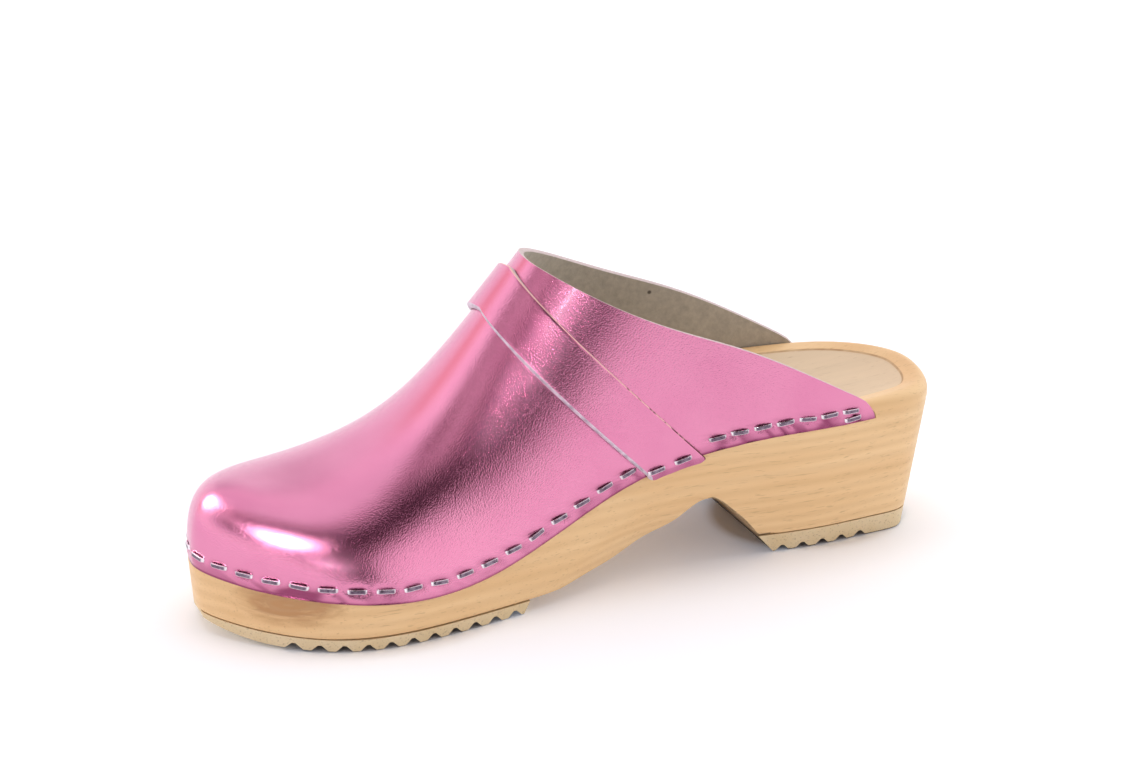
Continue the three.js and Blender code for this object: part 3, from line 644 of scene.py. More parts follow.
def run_tree(piece, tree, inputs):
    """The piece with the tree's result as its plain mesh."""
    modifier = piece.modifiers.new(tree.name, "NODES")
    modifier.node_group = tree
    sockets = {item.name: item.identifier for item in tree.interface.items_tree if item.in_out == "INPUT"}
    for label, value in inputs.items():
        modifier[sockets[label]] = value
    piece.update_tag()
    seen = piece.evaluated_get(bpy.context.evaluated_depsgraph_get())
    mesh = bpy.data.meshes.new_from_object(seen)
    piece.modifiers.remove(modifier)
    piece.data = mesh
    mesh.name = piece.name
    return piece


def vector_of(**parts):
    """A vector from the values of some of its axes."""
    return made("ShaderNodeCombineXYZ", parts)


def point_places(tree):
    return tree.nodes.new("GeometryNodeInputPosition").outputs[0]


groove_inputs = {
    "Count": 1, "First": (0.0, 0.0, 0.0), "Pitch": 0.0, "Mouth": 0.0, "Floor": 0.0, "Depth": 0.0,
    "Reach": 0.0, "Spring Start": 0.0, "Spring Run": 0.0, "Spring": 0.0, "Material": rubber,
}
groove_tree, groove_in, groove_out = tree_inputs("cross_grooves", groove_inputs)
line = made("GeometryNodeMeshLine", {
    "Count": groove_in["Count"], "Start Location": groove_in["First"],
    "Offset": vector_of(X=groove_in["Pitch"]),
}, mode="OFFSET")
along = made("ShaderNodeSeparateXYZ", {0: point_places(groove_tree)}, "X")
past = reckon("SUBTRACT", along, groove_in["Spring Start"])
past = reckon("DIVIDE", past, groove_in["Spring Run"])
past.node.use_clamp = True
rise = reckon("MULTIPLY", reckon("POWER", past, 2), groove_in["Spring"])
raised = made("GeometryNodeSetPosition", {"Geometry": line, "Offset": vector_of(Z=rise)})
# the section is drawn twice as deep as the groove, centred on the tread's face, so it reaches below
slope = reckon("SUBTRACT", reckon("MULTIPLY", groove_in["Mouth"], 2), groove_in["Floor"])
section = made("GeometryNodeCurvePrimitiveQuadrilateral", {
    "Top Width": slope, "Bottom Width": groove_in["Floor"],
    "Height": reckon("MULTIPLY", groove_in["Depth"], 2), "Offset": 0,
}, mode="TRAPEZOID")
across = made("GeometryNodeCurvePrimitiveLine", {
    "Start": vector_of(Y=groove_in["Reach"]), "End": vector_of(Y=reckon("MULTIPLY", groove_in["Reach"], -1)),
})
bar = made("GeometryNodeCurveToMesh", {"Curve": across, "Profile Curve": section, "Fill Caps": True})
copies = made("GeometryNodeInstanceOnPoints", {"Points": raised, "Instance": bar})
bars = made("GeometryNodeRealizeInstances", {"Geometry": copies})
blanks = {"Mesh 1": groove_in["Geometry"], "Mesh 2": bars}
carved = made("GeometryNodeMeshBoolean", blanks, operation="DIFFERENCE", solver="EXACT")
real = made("GeometryNodeRealizeInstances", {"Geometry": carved})
coated = made("GeometryNodeSetMaterial", {"Geometry": real, "Material": groove_in["Material"]})
groove_tree.links.new(coated, groove_out["Geometry"])


def grooved(piece, first, count, node):
    inputs = {
        "Count": count, "First": (heel_back + first * 0.001, 0.0, 0.0), "Pitch": TREAD_PITCH * 0.001,
        "Mouth": GROOVE_WIDTH * 0.001, "Floor": GROOVE_TOP * 0.001, "Depth": GROOVE_DEPTH * 0.001,
        "Reach": 0.08, "Spring Start": heel_back + SPRING_START * 0.001,
        "Spring Run": (SOLE_LENGTH - SPRING_START) * 0.001, "Spring": TOE_SPRING * 0.001, "Material": rubber,
    }
    run_tree(piece, groove_tree, inputs)
    mesh = piece.data
    mesh.polygons.foreach_set("use_smooth", [True] * len(mesh.polygons))
    mesh.set_sharp_from_angle(angle=math.radians(28))
    # the faces turned down, the grooves' walls and floors and the face on the ground, are painted in shade,
    # nearly black
    mesh.materials.append(rubber_underside_shade)
    under = [int(face.normal.z < UNDERSIDE_SHADE_SLOPE and face.center.x < UNDERSIDE_SHADE_END) for face in mesh.polygons]
    mesh.polygons.foreach_set("material_index", under)
    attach(piece, "root")
    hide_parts(node)


heel_top = HEEL_TREAD - FIT_GAP
heel_stops = np.concatenate([
    length_at(np.linspace(0, float(turn_at(HEEL_BEVEL)), 8)),
    np.linspace(HEEL_BEVEL, 56.5, 40)[1:],
    [BREAST_FOOT],
])
heel_under = lambda length: float(np.clip(HEEL_BEVEL - length, 0, HEEL_BEVEL) * 0.95)
heel_lean = heel_breast(heel_top) - BREAST_FOOT
heel_slab = tread_block("heel_slab", heel_stops, heel_under, lambda length: heel_top, 0, heel_lean)
grooved(heel_slab, BREAST_FOOT - TREAD_PITCH * (HEEL_GROOVES - 0.5), HEEL_GROOVES, "heel_tread")


def front_under(length):
    past_taper = max(length - TOE_TAPER_START, 0) / (FRONT_TREAD_TOE - TOE_TAPER_START)
    return float(spring_at(length)) + FRONT_TREAD * TOE_TAPER * past_taper**2


front_over = lambda length: FRONT_TREAD - FIT_GAP + float(spring_at(length))
front_stops = np.concatenate([
    [FRONT_TREAD_REAR],
    np.linspace(FRONT_TREAD_REAR + 3, 0.98 * SOLE_LENGTH, 66),
    np.array([0.985, 0.99, 0.994, 0.997]) * SOLE_LENGTH,
])
front_slab = tread_block("forefoot_slab", front_stops, front_under, front_over, -FRONT_TREAD / 2, 0)
grooved(front_slab, FRONT_TREAD_REAR + TREAD_PITCH / 2, FRONT_GROOVES, "forefoot_tread")

# The upper is one piece of cowhide, two millimetres thick, finished outside with a glossy metallic pink
# foil over a fine pebble grain, suede inside and raw at its cut edges. It is drawn wet over a last and
# pulled down into the sole's rabbet, so its lower edge is puckered between the staples.
INSTEP_HEIGHT = 103
LEATHER = 2
COLLAR_TOP = 0.553 * SOLE_LENGTH
RIDGE = (
    (0.1, 2.41), (0.3, 1.8), (0.5, 1.155), (0.6, 0.867), (0.7, 0.6), (0.8, 0.452), (0.86, 0.42),
    (0.93, 0.43), (1, 0.46),
)
SECTION = (
    # at, lean, side, crown, ridge
    (0.1, 0.28, 2, 2, 0.022), (0.3, 0.28, 2, 2, 0.022), (0.45, 0.29, 2, 2, 0.022),
    (0.57, 0.35, 2.05, 2, 0.035), (0.68, 0.27, 2.12, 2.01, 0.049), (0.84, 0.03, 2.6, 2.35, 0.072),
    (1, 0, 3.1, 3.1, 0.103),
)
COLLAR = ((0, 1), (0.2, 0.772), (0.4, 0.584), (0.6, 0.428), (0.8, 0.229), (1, 0))
UPPER_COLUMNS = 60
UPPER_ROWS = 330
CUT_ROUND = 0.3
PINK = (0.74, 0.26, 0.425)
PINK_DEEP = (0.71, 0.235, 0.40)
PINK_LIGHT = (0.76, 0.275, 0.44)
PINK_SHADE = (0.22, 0.035, 0.10)
RAW_EDGE = (0.70, 0.58, 0.57)
SUEDE = (0.49, 0.455, 0.38)

ridge_at = column_of(RIDGE, 1, INSTEP_HEIGHT)
lean_at = column_of(SECTION, 1, 1)
side_at = column_of(SECTION, 2, 1)
crown_at = column_of(SECTION, 3, 1)
across_at = column_of(SECTION, 4, BALL_WIDTH)
collar_left = smooth_curve([row[0] for row in COLLAR], [row[1] for row in COLLAR])
HALF_TURN = math.pi
QUARTER_TURN = math.pi / 2
END_MARGIN = 5 * NEAR


def last_point(side, turn, rise):
    """A point of the upper's outer face: rise runs from 0 at the ledge to a quarter turn at the ridge."""
    length = length_at(turn)
    foot = ridge_foot(length)
    lift = np.clip(np.sin(rise), 0, 1) ** (2 / crown_at(length))
    spread = np.clip(np.cos(rise), 0, 1) ** (2 / side_at(length)) * (1 - lean_at(length) * lift)
    x = foot + spread * (length - foot)
    y = across_at(foot) + spread * (edge_at(side, turn) - across_at(foot))
    ledge = ledge_at(length)
    return np.stack(np.broadcast_arrays(x, y, ledge + (ridge_at(x) - ledge) * lift), -1)


def unit(vectors):
    return vectors / np.linalg.norm(vectors, axis=-1, keepdims=True)


def side_normal(side, turn, rise):
    t = np.clip(turn, 0.1, HALF_TURN - END_MARGIN)
    r = np.clip(rise, END_MARGIN, QUARTER_TURN - END_MARGIN)
    along = last_point(side, t + NEAR, r) - last_point(side, t - NEAR, r)
    up = last_point(side, t, r + NEAR) - last_point(side, t, r - NEAR)
    return unit(np.cross(up, along) * np.asarray(side)[..., None])


def last_normal(side, turn, rise):
    side, turn, rise = np.broadcast_arrays(side, turn, rise)
    normal = side_normal(side, turn, rise)
    shared = (turn > HALF_TURN - NEAR) | (rise > QUARTER_TURN - NEAR)
    return np.where(shared[..., None], unit(normal + side_normal(-side, turn, rise)), normal)


def crossing(low, high, measure):
    """Bisection for the place where a falling measure reaches nought."""
    low, high = np.array(low, float), np.array(high, float)
    for _ in range(44):
        middle = (low + high) / 2
        over = measure(middle) > 0
        low, high = np.where(over, middle, low), np.where(over, high, middle)
    return (low + high) / 2


def collar_height(length):
    along = (COLLAR_TOP - length) / (COLLAR_TOP - COLLAR_TIP)
    tip = ledge_at(COLLAR_TIP) + TIP_HEIGHT
    height = tip + (ridge_at(COLLAR_TOP) - tip) * collar_left(along)
    in_round = np.clip((length - COLLAR_TIP) / TIP_ROUND, 0, 1)
    return (height - ledge_at(length)) * np.sqrt(1 - (1 - in_round) ** 2)


def rise_of(turn, lift):
    return np.arcsin(np.clip(lift, 0, 1) ** (crown_at(length_at(turn)) / 2))


def collar_turn(lift):
    def short_of(turn):
        length = length_at(turn)
        return lift * (ridge_at(length) - ledge_at(length)) - collar_height(length)

    low = np.full(np.shape(lift), float(turn_at(COLLAR_TIP)))
    return crossing(low, np.full(np.shape(lift), float(turn_at(COLLAR_TOP))), short_of)


# The staples' places are worked out here, because the leather dips under each one and puckers between.
STAPLE_EDGE = 4.2
STRAP_STAPLE_EDGE = 1.7
STRAP_LEATHER = 2.2
STRAP_WIDTH = 16.2
STRAP_CLEAR = 0.035
STRAP_TOP_SLANT = 0.206 * SOLE_LENGTH
STRAP_FOOT_SLANT = 0.2335 * SOLE_LENGTH
STRAP_FIRST = 0.28 * SOLE_LENGTH
STRAP_LAST = 0.75 * SOLE_LENGTH
STAPLE_RUNS = ((1, 18, 2, 7), (-1, 17, 2, 6))


def strap_turn(side, rise, across):
    middle = STRAP_TOP_SLANT + (STRAP_FOOT_SLANT - STRAP_TOP_SLANT) * np.cos(rise)
    slant = middle + across * STRAP_WIDTH / math.sqrt(2)
    shape = np.broadcast_shapes(np.shape(rise), np.shape(across), np.shape(side))

    def short_of(turn):
        point = last_point(side, turn, rise)
        return slant - (point[..., 0] - point[..., 2])

    low = np.full(shape, float(turn_at(STRAP_FIRST)))
    return crossing(low, np.full(shape, float(turn_at(STRAP_LAST))), short_of)


def rise_above_edge(turn, edge):
    length = length_at(turn)
    lift = edge / (ridge_at(length) - ledge_at(length))
    return np.arcsin(np.clip(lift, 0, 1) ** (crown_at(length) / 2))


def staple_turns(side, start, end, count):
    steps = np.linspace(start, end, 120)
    line_points = last_point(side, steps, rise_above_edge(steps, STAPLE_EDGE))
    lengths = np.concatenate([[0], np.cumsum(np.linalg.norm(np.diff(line_points, axis=0), axis=1))])
    return np.interp(lengths[-1] * (np.arange(count) + 0.5) / count, lengths, steps)


staples = []
for side, front, on_strap, rear in STAPLE_RUNS:
    low = rise_above_edge(turn_at(STRAP_FIRST), STAPLE_EDGE)
    strap_rear = float(strap_turn(side, low, -1))
    strap_front = float(strap_turn(side, low, 1))
    tip = float(turn_at(COLLAR_TIP + TIP_ROUND))
    for turn in staple_turns(side, strap_front, HALF_TURN, front):
        staples.append((side, turn, STAPLE_EDGE, 0.0))
    for turn in staple_turns(side, strap_rear, strap_front, on_strap):
        staples.append((side, turn, STRAP_STAPLE_EDGE, STRAP_LEATHER + FIT_GAP))
    for turn in staple_turns(side, tip, strap_rear - STRAP_CLEAR, rear):
        staples.append((side, turn, STAPLE_EDGE, 0.0))
    if side > 0:
        # a second one, driven lower down by the collar's tip
        staples.append((side, tip + 0.035, STAPLE_EDGE - 2.6, 0.0))


def wander(place, seed, pitch):
    """A smooth random wave of about one either way, with this pitch in millimetres."""
    source = np.random.default_rng(seed)
    knots = source.uniform(-1, 1, 400)
    spot = np.asarray(place) / pitch
    i = np.floor(spot).astype(int) % 399
    share = spot - np.floor(spot)
    share = share * share * (3 - 2 * share)
    return knots[i] * (1 - share) + knots[i + 1] * share


def dents(points, lifted):
    """Dents under the staples that stand at one level, in millimetres inwards."""
    deep = np.zeros(points.shape[:-1])
    for staple_side, staple_turn, edge, staple_lift in staples:
        if staple_lift != lifted:
            continue
        middle = last_point(staple_side, np.array(staple_turn), rise_above_edge(np.array(staple_turn), edge))
        gap = points - middle
        flat = np.hypot(gap[..., 0], gap[..., 1])
        deep = np.maximum(deep, np.exp(-((flat / 3.3) ** 4) - (gap[..., 2] / 1.35) ** 2))
    return deep


def edge_relief(points, side, turn):
    """Dents under the staples, puckers between them and the lower edge, and soft pulls above the toe."""
    height = points[..., 2] - ledge_at(length_at(turn))
    run = length_at(turn) + 0.55 * np.abs(edge_at(side, turn))
    tag = np.where(side > 0, 0, 131.0)
    slow = wander(run + tag + 0.5 * height, 11, 4.6)
    quick = wander(run + tag - 0.7 * height, 12, 2.1)
    tall = wander(run + tag + 0.25 * height, 13, 8.0)
    low_band = np.exp(-((height - 1.9) / 2.0) ** 2)
    high_band = np.exp(-np.clip(height - 4, 0, None) / 5.5) * (1 - np.exp(-np.clip(height, 0, None) / 2.5))
    # the leather is pulled hardest round the toe and along the waist
    toe_pull = np.exp(-((length_at(turn) - 222) / 17) ** 2)
    waist_pull = np.exp(-((length_at(turn) - 76) / 44) ** 4)
    pull = np.clip(0.30 + toe_pull + 0.9 * waist_pull, 0, 1.15)
    margin = -0.34 * np.clip((3.4 - height) / 3.4, 0, 1)
    relief = -0.62 * dents(points, 0.0) + margin * (0.4 + 0.6 * pull)
    relief += (0.42 * slow + 0.30 * quick) * low_band * pull
    relief += 0.22 * tall * high_band * (toe_pull + 0.25)
    return relief * (0.5 + 0.5 * np.clip(height / 0.5, 0, 1)), height, pull, slow * low_band, quick * low_band


steps = 1 - np.abs(np.arange(2 * UPPER_COLUMNS + 1) - UPPER_COLUMNS) / UPPER_COLUMNS
column_lift = np.sin(QUARTER_TURN * steps**1.55)
column_side = np.where(np.arange(2 * UPPER_COLUMNS + 1) <= UPPER_COLUMNS, 1, -1)
column_start = collar_turn(column_lift)
row_share = np.linspace(0, 1, UPPER_ROWS + 1)[:, None]
upper_turn = column_start + (HALF_TURN - column_start) * row_share
upper_rise = rise_of(upper_turn, column_lift)
upper_side = np.broadcast_to(column_side, upper_turn.shape)
upper_face = last_point(upper_side, upper_turn, upper_rise)
upper_normal = last_normal(upper_side, upper_turn, upper_rise)
relief, edge_height, edge_pull, slow_fold, quick_fold = edge_relief(upper_face, upper_side, upper_turn)
relief[-1] = (relief[-1] + relief[-1][::-1]) / 2
# painted shade in the foil's colour: a dark line along the leather's lower edge where it meets the wood, a
# darker margin below the staples where it is pulled, the hollows of the puckers and the dents under the
# staples
upper_crease_shade = np.clip(
    0.9 * np.exp(-((edge_height / 0.5) ** 2))
    + 0.48 * edge_pull * np.clip((3.6 - edge_height) / 3.6, 0, 1)
    + edge_pull * (1.0 * np.clip(-slow_fold - 0.1, 0, 1) + 0.9 * np.clip(-quick_fold - 0.1, 0, 1))
    + 0.5 * dents(upper_face, 0.0), 0, 1)
outside = upper_face + upper_normal * relief[..., None]
inside = upper_face - upper_normal * LEATHER


def loop_of(grid):
    """The sheet's free edge: along the collar, then down one side to the toe and back up the other."""
    return np.concatenate([grid[0], grid[1:, -1], grid[-1:0:-1, 0]])


def outward_of(grid):
    """Unit steps off the sheet at its free edge."""
    collar = unit(grid[0] - grid[2])
    outer = unit(grid[1:, -1] - grid[1:, -3])
    inner = unit(grid[-1:0:-1, 0] - grid[-1:0:-1, 2])
    return np.concatenate([collar, outer, inner])


def upper_mesh():
    rows, columns = outside.shape[:2]
    count = rows * columns
    face_a = strip_faces(rows, columns)
    face_b = [tuple(count + i for i in reversed(face)) for face in face_a]
    index = np.arange(count).reshape(rows, columns)
    rim = np.concatenate([index[0], index[1:, -1], index[-1:0:-1, 0]])
    n = len(rim)
    edge_out = loop_of(outside)
    edge_in = loop_of(inside)
    step_out = outward_of(upper_face)
    through = unit(edge_in - edge_out)
    ring_a = edge_out + step_out * 0.12 + through * CUT_ROUND
    ring_b = edge_in + step_out * 0.12 - through * CUT_ROUND
    start_a, start_b = 2 * count, 2 * count + n
    faces_edge = []
    for k in range(n):
        j = (k + 1) % n
        a, b = int(rim[k]), int(rim[j])
        faces_edge.append((a, b, start_a + j, start_a + k))
        faces_edge.append((start_a + k, start_a + j, start_b + j, start_b + k))
        faces_edge.append((start_b + k, start_b + j, count + b, count + a))
    points = np.concatenate([outside.reshape(-1, 3), inside.reshape(-1, 3), ring_a, ring_b])
    kinds = [0] * len(face_a) + [1] * len(face_b) + [2] * len(faces_edge)
    crease_shade = np.concatenate([upper_crease_shade.ravel(), np.zeros(count + 2 * n)])
    return points, face_a + face_b + faces_edge, kinds, crease_shade


def carried(place, label):
    """The node of a value that the mesh carries at each of its points."""
    node = place.id_data.nodes.new("ShaderNodeAttribute")
    node.attribute_name = label
    return node


# Outside, the foil is a metal film on pebbled grain; its sheen breaks up into small sparks.
foil, foil_shader, foil_place = new_material("pink_foil_leather", 0.22, 1.0)
foil_cloud = noise(foil_place, 45, 3.0, 0.55)
pebbles = made("ShaderNodeTexVoronoi", {
    "Scale": 1900, "Randomness": 0.95, "Vector": foil_place,
}, "Distance", feature="F1")
fine_grain = noise(foil_place, 3600, 1.0, 0.6)
slow_waves = noise(foil_place, 260, 2.0, 0.5)
foil_colour = ramp(foil_cloud, ((0.3, PINK_DEEP), (0.55, PINK), (0.8, PINK_LIGHT)))
# painted shade: the foil turns towards PINK_SHADE where the mesh carries crease shade
in_crease_shade = reckon("MULTIPLY", carried(foil_place, "crease_shade").outputs["Fac"], 0.9)
foil_colour = blend_colours(in_crease_shade, foil_colour, PINK_SHADE)
give(foil_shader, {"Base Color": foil_colour, "Roughness": ramp(fine_grain, ((0.3, 0.16), (0.7, 0.245)))})
pebble_relief = bumped(foil_shader, reckon("SUBTRACT", 1.0, pebbles), 0.00005, 0.75)
grain_normal = bumped(foil_shader, fine_grain, 0.00008, 0.58, pebble_relief)
bumped(foil_shader, slow_waves, 0.00025, 0.03, grain_normal)
give(foil_shader, {"Coat Weight": 0.2, "Coat Roughness": 0.12})

# Inside is the flesh side, a grey-beige nap with a few dark specks; the cut edge shows pale fibres.
suede, suede_shader, suede_place = new_material("suede_lining", 0.95)
nap = noise(suede_place, 420, 4.0, 0.65)
nap_cloud = noise(suede_place, 60, 2.0, 0.5)
specks = made("ShaderNodeTexVoronoi", {"Scale": 95, "Vector": suede_place}, "Distance")
suede_colour = ramp(nap, ((0.3, toned(SUEDE, 0.82)), (0.7, toned(SUEDE, 1.2))))
suede_colour = blend_colours(reckon("MULTIPLY", nap_cloud, 0.35), suede_colour, (0.52, 0.49, 0.43))
speck_dots = ramp(specks, ((0.05, 0.9), (0.09, 0.0)))
suede_colour = blend_colours(speck_dots, suede_colour, (0.07, 0.055, 0.045))
give(suede_shader, {"Base Color": suede_colour})
bumped(suede_shader, nap, 0.0003, 0.5)
give(suede_shader, {"Sheen Weight": 0.35, "Sheen Roughness": 0.5})

raw_cut, cut_shader, cut_place = new_material("raw_leather_edge", 0.85)
fibres = noise(cut_place, 900, 3.0, 0.6)
give(cut_shader, {"Base Color": ramp(fibres, ((0.3, toned(RAW_EDGE, 0.8)), (0.7, RAW_EDGE)))})
bumped(cut_shader, fibres, 0.0002, 0.5)

upper_points, upper_faces, upper_kinds, crease_shade_marks = upper_mesh()
upper_finishes = [foil, suede, raw_cut]
marks = {"crease_shade": crease_shade_marks}
upper = new_piece("drawn_upper", upper_points, upper_faces, upper_finishes, upper_kinds, 50, marks)
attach(upper, "root")
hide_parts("upper")

# The strap is a band of the same leather over the instep, cut square, its raw edges pale. Only its
# staples hold it, so its rear edge lifts a little in places low on the side.
STRAP_TUCK = 1.5
STRAP_ACROSS = 18
STRAP_COLUMNS = 70
STRAP_OFF = 0.2

front_cut, front_shader, front_place = new_material("strap_front_cut", 0.42)
front_fibres = noise(front_place, 420, 3.0, 0.6)
front_colour = ramp(front_fibres, ((0.3, (0.44, 0.36, 0.44)), (0.65, (0.80, 0.68, 0.78))))
give(front_shader, {"Base Color": front_colour})
bumped(front_shader, front_fibres, 0.00015, 0.4)

rear_cut, rear_shader, rear_place = new_material("strap_rear_cut", 0.8)
rear_tufts = noise(rear_place, 330, 2.0, 0.7)
rear_low = made("ShaderNodeSeparateXYZ", {0: rear_place}, "Z")
# low on the side the edge stands off, and the shadow under it is painted into the edge's colour as dark
# dashes
above = reckon("MULTIPLY", reckon("SUBTRACT", rear_low, 0.045), 8.0)
rear_shadow_dashes = reckon("SUBTRACT", rear_tufts, above)
rear_colour = ramp(rear_shadow_dashes, ((0.42, (0.86, 0.50, 0.46)), (0.5, (0.16, 0.035, 0.05))))
give(rear_shader, {"Base Color": rear_colour})
bumped(rear_shader, rear_tufts, 0.0003, 0.6)


def strap_mesh():
    """Closed cross-sections of the band from one end to the other."""
    top = STRAP_OFF + STRAP_LEATHER
    loop = [(share, top, 0) for share in np.linspace(-0.955, 0.91, STRAP_ACROSS)]
    loop[-1] = (0.91, top, 3)
    loop += [(0.942, top - 0.1, 3), (0.972, top - 0.36, 3), (1.0, top - 0.9, 3), (1.0, STRAP_OFF + 0.1, 1)]
    loop += [(share, STRAP_OFF, 1) for share in np.linspace(0.96, -0.96, 9)]
    loop += [(-1.0, STRAP_OFF + 0.1, 2), (-1.0, top - 0.42, 4), (-0.98, top - 0.12, 4)]
    shares = np.array([point[0] for point in loop])
    offs = np.array([point[1] for point in loop])
    steps = np.abs(np.arange(2 * STRAP_COLUMNS + 1) - STRAP_COLUMNS) / STRAP_COLUMNS
    rises = QUARTER_TURN * (1 - steps) ** 1.5
    sides = np.where(np.arange(2 * STRAP_COLUMNS + 1) <= STRAP_COLUMNS, 1, -1)
    rise_grid = np.repeat(rises[:, None], len(loop), 1)
    side_grid = np.repeat(sides[:, None], len(loop), 1)
    share_grid = np.repeat(shares[None, :], len(rises), 0)
    turn_grid = strap_turn(side_grid, rise_grid, share_grid)
    point = last_point(side_grid, turn_grid, rise_grid)
    normal = last_normal(side_grid, turn_grid, rise_grid)
    height = point[..., 2] - ledge_at(length_at(turn_grid))
    low = np.exp(-((rise_grid - 0.25) / 0.3) ** 2)
    flap = np.clip((-share_grid - 0.7) / 0.3, 0, 1) ** 2 * low * (0.22 + 0.16 * wander(height, 21, 3.0))
    outer_part = np.clip((offs - STRAP_OFF) / STRAP_LEATHER, 0, 1)
    ripple = 0.13 * wander(height + 3 * share_grid, 22, 3.4) - 0.12
    ripple = ripple * np.exp(-np.clip(height, 0, None) / 2.2)
    away = offs + flap + outer_part * (ripple - 0.45 * dents(point, STRAP_LEATHER + FIT_GAP))
    points = point + normal * away[..., None]
    # the ends hang a little below the upper's edge, their corners worn round
    tuck = STRAP_TUCK - 1.1 * np.clip((np.abs(shares) - 0.78) / 0.22, 0, 1) ** 2
    for row in (0, -1):
        points[row, :, 2] -= tuck - 0.25 * (outer_part > 0.9)
    pressed = dents(point, STRAP_LEATHER + FIT_GAP)
    # painted shade: the band darkens along its lower ends and in the dents under its staples
    crease_shade = np.clip(0.55 * np.exp(-((height / 0.6) ** 2)) + 0.4 * pressed, 0, 1)
    faces = strip_faces(len(rises), len(loop), closed=True)
    kinds = [point[2] for point in loop] * (len(rises) - 1)
    last = (len(rises) - 1) * len(loop)
    faces += [tuple(range(len(loop))), tuple(range(last, last + len(loop)))]
    return points.reshape(-1, 3), faces, kinds + [2, 2], crease_shade.ravel()


strap_points, strap_faces, strap_kinds, strap_crease_shade = strap_mesh()
strap_finishes = [foil, suede, raw_cut, front_cut, rear_cut]
marks = {"crease_shade": strap_crease_shade}
strap = new_piece("strap_band", strap_points, strap_faces, strap_finishes, strap_kinds, 50, marks)
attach(strap, "root")
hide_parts("instep_strap")

# The staples are bright steel wire, flattened, shot through leather and into the wood one after the
# other, so no two stand quite alike. Only their crowns show, with bent shoulders.
STAPLE_LENGTH = 5.8
STAPLE_WIDTH = 1.4
STAPLE_THICK = 0.7
STAPLE_SEED = 7

steel, steel_shader, steel_place = new_material("staple_steel", 0.2, 1.0)
steel_wear = noise(steel_place, 700, 3.0, 0.6)
crown_place = carried(steel_place, "crown_place")
crown_parts = made("ShaderNodeSeparateXYZ", {0: crown_place.outputs["Vector"]}).node
# painted highlights: the crown's ends and long edges are lightened where glints fall on its rounded shoulders
# and rims
end_glint = reckon("POWER", reckon("ABSOLUTE", crown_parts.outputs["X"], 0), 7)
edge_glint = reckon("POWER", reckon("ABSOLUTE", crown_parts.outputs["Y"], 0), 4)
glint = ramp(reckon("MAXIMUM", end_glint, edge_glint), ((0.12, 0.0), (0.5, 1.0)))
dull_steel = ramp(steel_wear, ((0.3, (0.09, 0.055, 0.09)), (0.7, (0.27, 0.21, 0.27))))
give(steel_shader, {"Base Color": blend_colours(glint, dull_steel, (0.86, 0.80, 0.85))})
give(steel_shader, {"Roughness": ramp(steel_wear, ((0.3, 0.34), (0.7, 0.2)))})
bumped(steel_shader, steel_wear, 0.00005, 0.4)

staple_points, staple_out, staple_along = [], [], []
for side, turn, edge, lifted in staples:
    turn = np.array(turn)
    rise_here = rise_above_edge(turn, edge)
    normal = last_normal(side, turn, rise_here)
    ahead, back = (last_point(side, t, rise_above_edge(t, edge)) for t in (turn + NEAR, turn - NEAR))
    staple_points.append(last_point(side, turn, rise_here) + normal * (lifted + 0.12))
    staple_out.append(normal)
    staple_along.append(unit(ahead - back))
staple_mesh = bpy.data.meshes.new("staple_places")
staple_mesh.from_pydata(placed(staple_points).tolist(), [], [])
for label, values in (("out", staple_out), ("along", staple_along)):
    layer = staple_mesh.attributes.new(label, "FLOAT_VECTOR", "POINT")
    layer.data.foreach_set("vector", np.array(values).ravel())
staple_row = bpy.data.objects.new("staple_row", staple_mesh)
bpy.context.scene.collection.objects.link(staple_row)

staple_inputs = {
    "Length": STAPLE_LENGTH * 0.001, "Width": STAPLE_WIDTH * 0.001, "Thickness": STAPLE_THICK * 0.001,
    "Tilt": 0.10, "Seed": STAPLE_SEED, "Material": steel,
}
staple_tree, staple_in, staple_result = tree_inputs("staple_crowns", staple_inputs)


def attribute(label):
    node = staple_tree.nodes.new("GeometryNodeInputNamedAttribute")
    node.data_type = "FLOAT_VECTOR"
    node.inputs["Name"].default_value = label
    return node.outputs["Attribute"]


half = reckon("MULTIPLY", staple_in["Length"], 0.5)
wire = made("GeometryNodeCurvePrimitiveLine", {
    "Start": vector_of(X=reckon("MULTIPLY", staple_in["Length"], -0.5)), "End": vector_of(X=half),
})
finer = made("GeometryNodeResampleCurve", {"Curve": wire, "Count": 15})
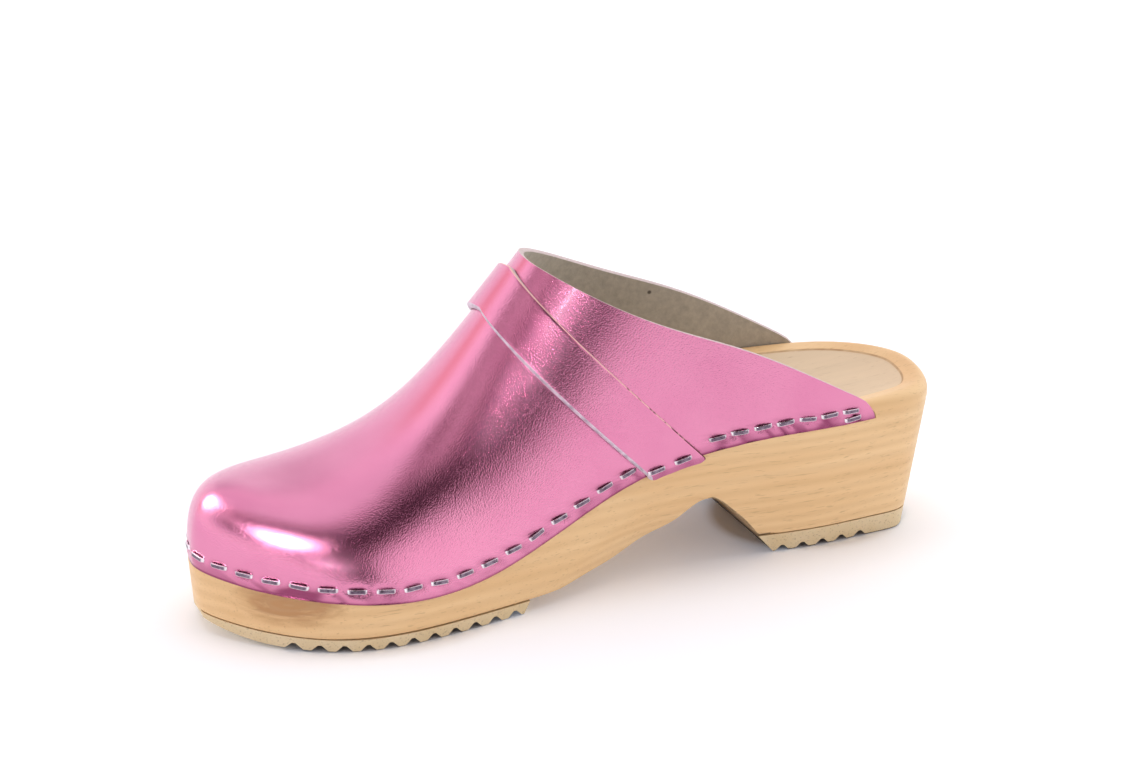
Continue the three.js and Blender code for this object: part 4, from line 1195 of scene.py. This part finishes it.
# the crown's shoulders bend down into the wood
wire_x = made("ShaderNodeSeparateXYZ", {0: point_places(staple_tree)}, "X")
to_end = reckon("POWER", reckon("DIVIDE", reckon("ABSOLUTE", wire_x, 0), half), 7.0)
drop = reckon("MULTIPLY", to_end, reckon("MULTIPLY", staple_in["Thickness"], -1.3))
bent = made("GeometryNodeSetPosition", {"Geometry": finer, "Offset": vector_of(Z=drop)})
flat = {"Width": staple_in["Width"], "Height": staple_in["Thickness"]}
wire_section = made("GeometryNodeCurvePrimitiveQuadrilateral", flat)
rounded = made("GeometryNodeFilletCurve", {
    "Curve": wire_section, "Count": 2, "Radius": reckon("MULTIPLY", staple_in["Thickness"], 0.35),
}, mode="POLY")
crown = made("GeometryNodeCurveToMesh", {"Curve": bent, "Profile Curve": rounded, "Fill Caps": True})
crown_size = vector_of(X=half, Y=reckon("MULTIPLY", staple_in["Width"], 0.5), Z=half)
crown_share = made("ShaderNodeVectorMath", {0: point_places(staple_tree), 1: crown_size}, operation="DIVIDE")
marked = made("GeometryNodeStoreNamedAttribute", {
    "Geometry": crown, "Value": crown_share, "Name": "crown_place",
}, data_type="FLOAT_VECTOR", domain="POINT")
axes = made("FunctionNodeAxesToRotation", {
    "Primary Axis": attribute("out"), "Secondary Axis": attribute("along"),
}, primary_axis="Z", secondary_axis="X")
jitter = made("FunctionNodeRandomValue", {
    2: reckon("MULTIPLY", staple_in["Tilt"], -1.0), 3: staple_in["Tilt"], "Seed": staple_in["Seed"],
}, 1, data_type="FLOAT")
turned = made("FunctionNodeRotateRotation", {
    "Rotation": axes, "Rotate By": vector_of(Z=jitter),
}, rotation_space="LOCAL")
crowns = made("GeometryNodeInstanceOnPoints", {
    "Points": staple_in["Geometry"], "Instance": marked, "Rotation": turned,
})
real_crowns = made("GeometryNodeRealizeInstances", {"Geometry": crowns})
steel_on = made("GeometryNodeSetMaterial", {"Geometry": real_crowns, "Material": staple_in["Material"]})
staple_tree.links.new(steel_on, staple_result["Geometry"])
run_tree(staple_row, staple_tree, staple_inputs)
staple_row.data.polygons.foreach_set("use_smooth", [True] * len(staple_row.data.polygons))
staple_row.data.set_sharp_from_angle(angle=math.radians(40))
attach(staple_row, "root")
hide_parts(*[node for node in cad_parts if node.startswith("staple_")])
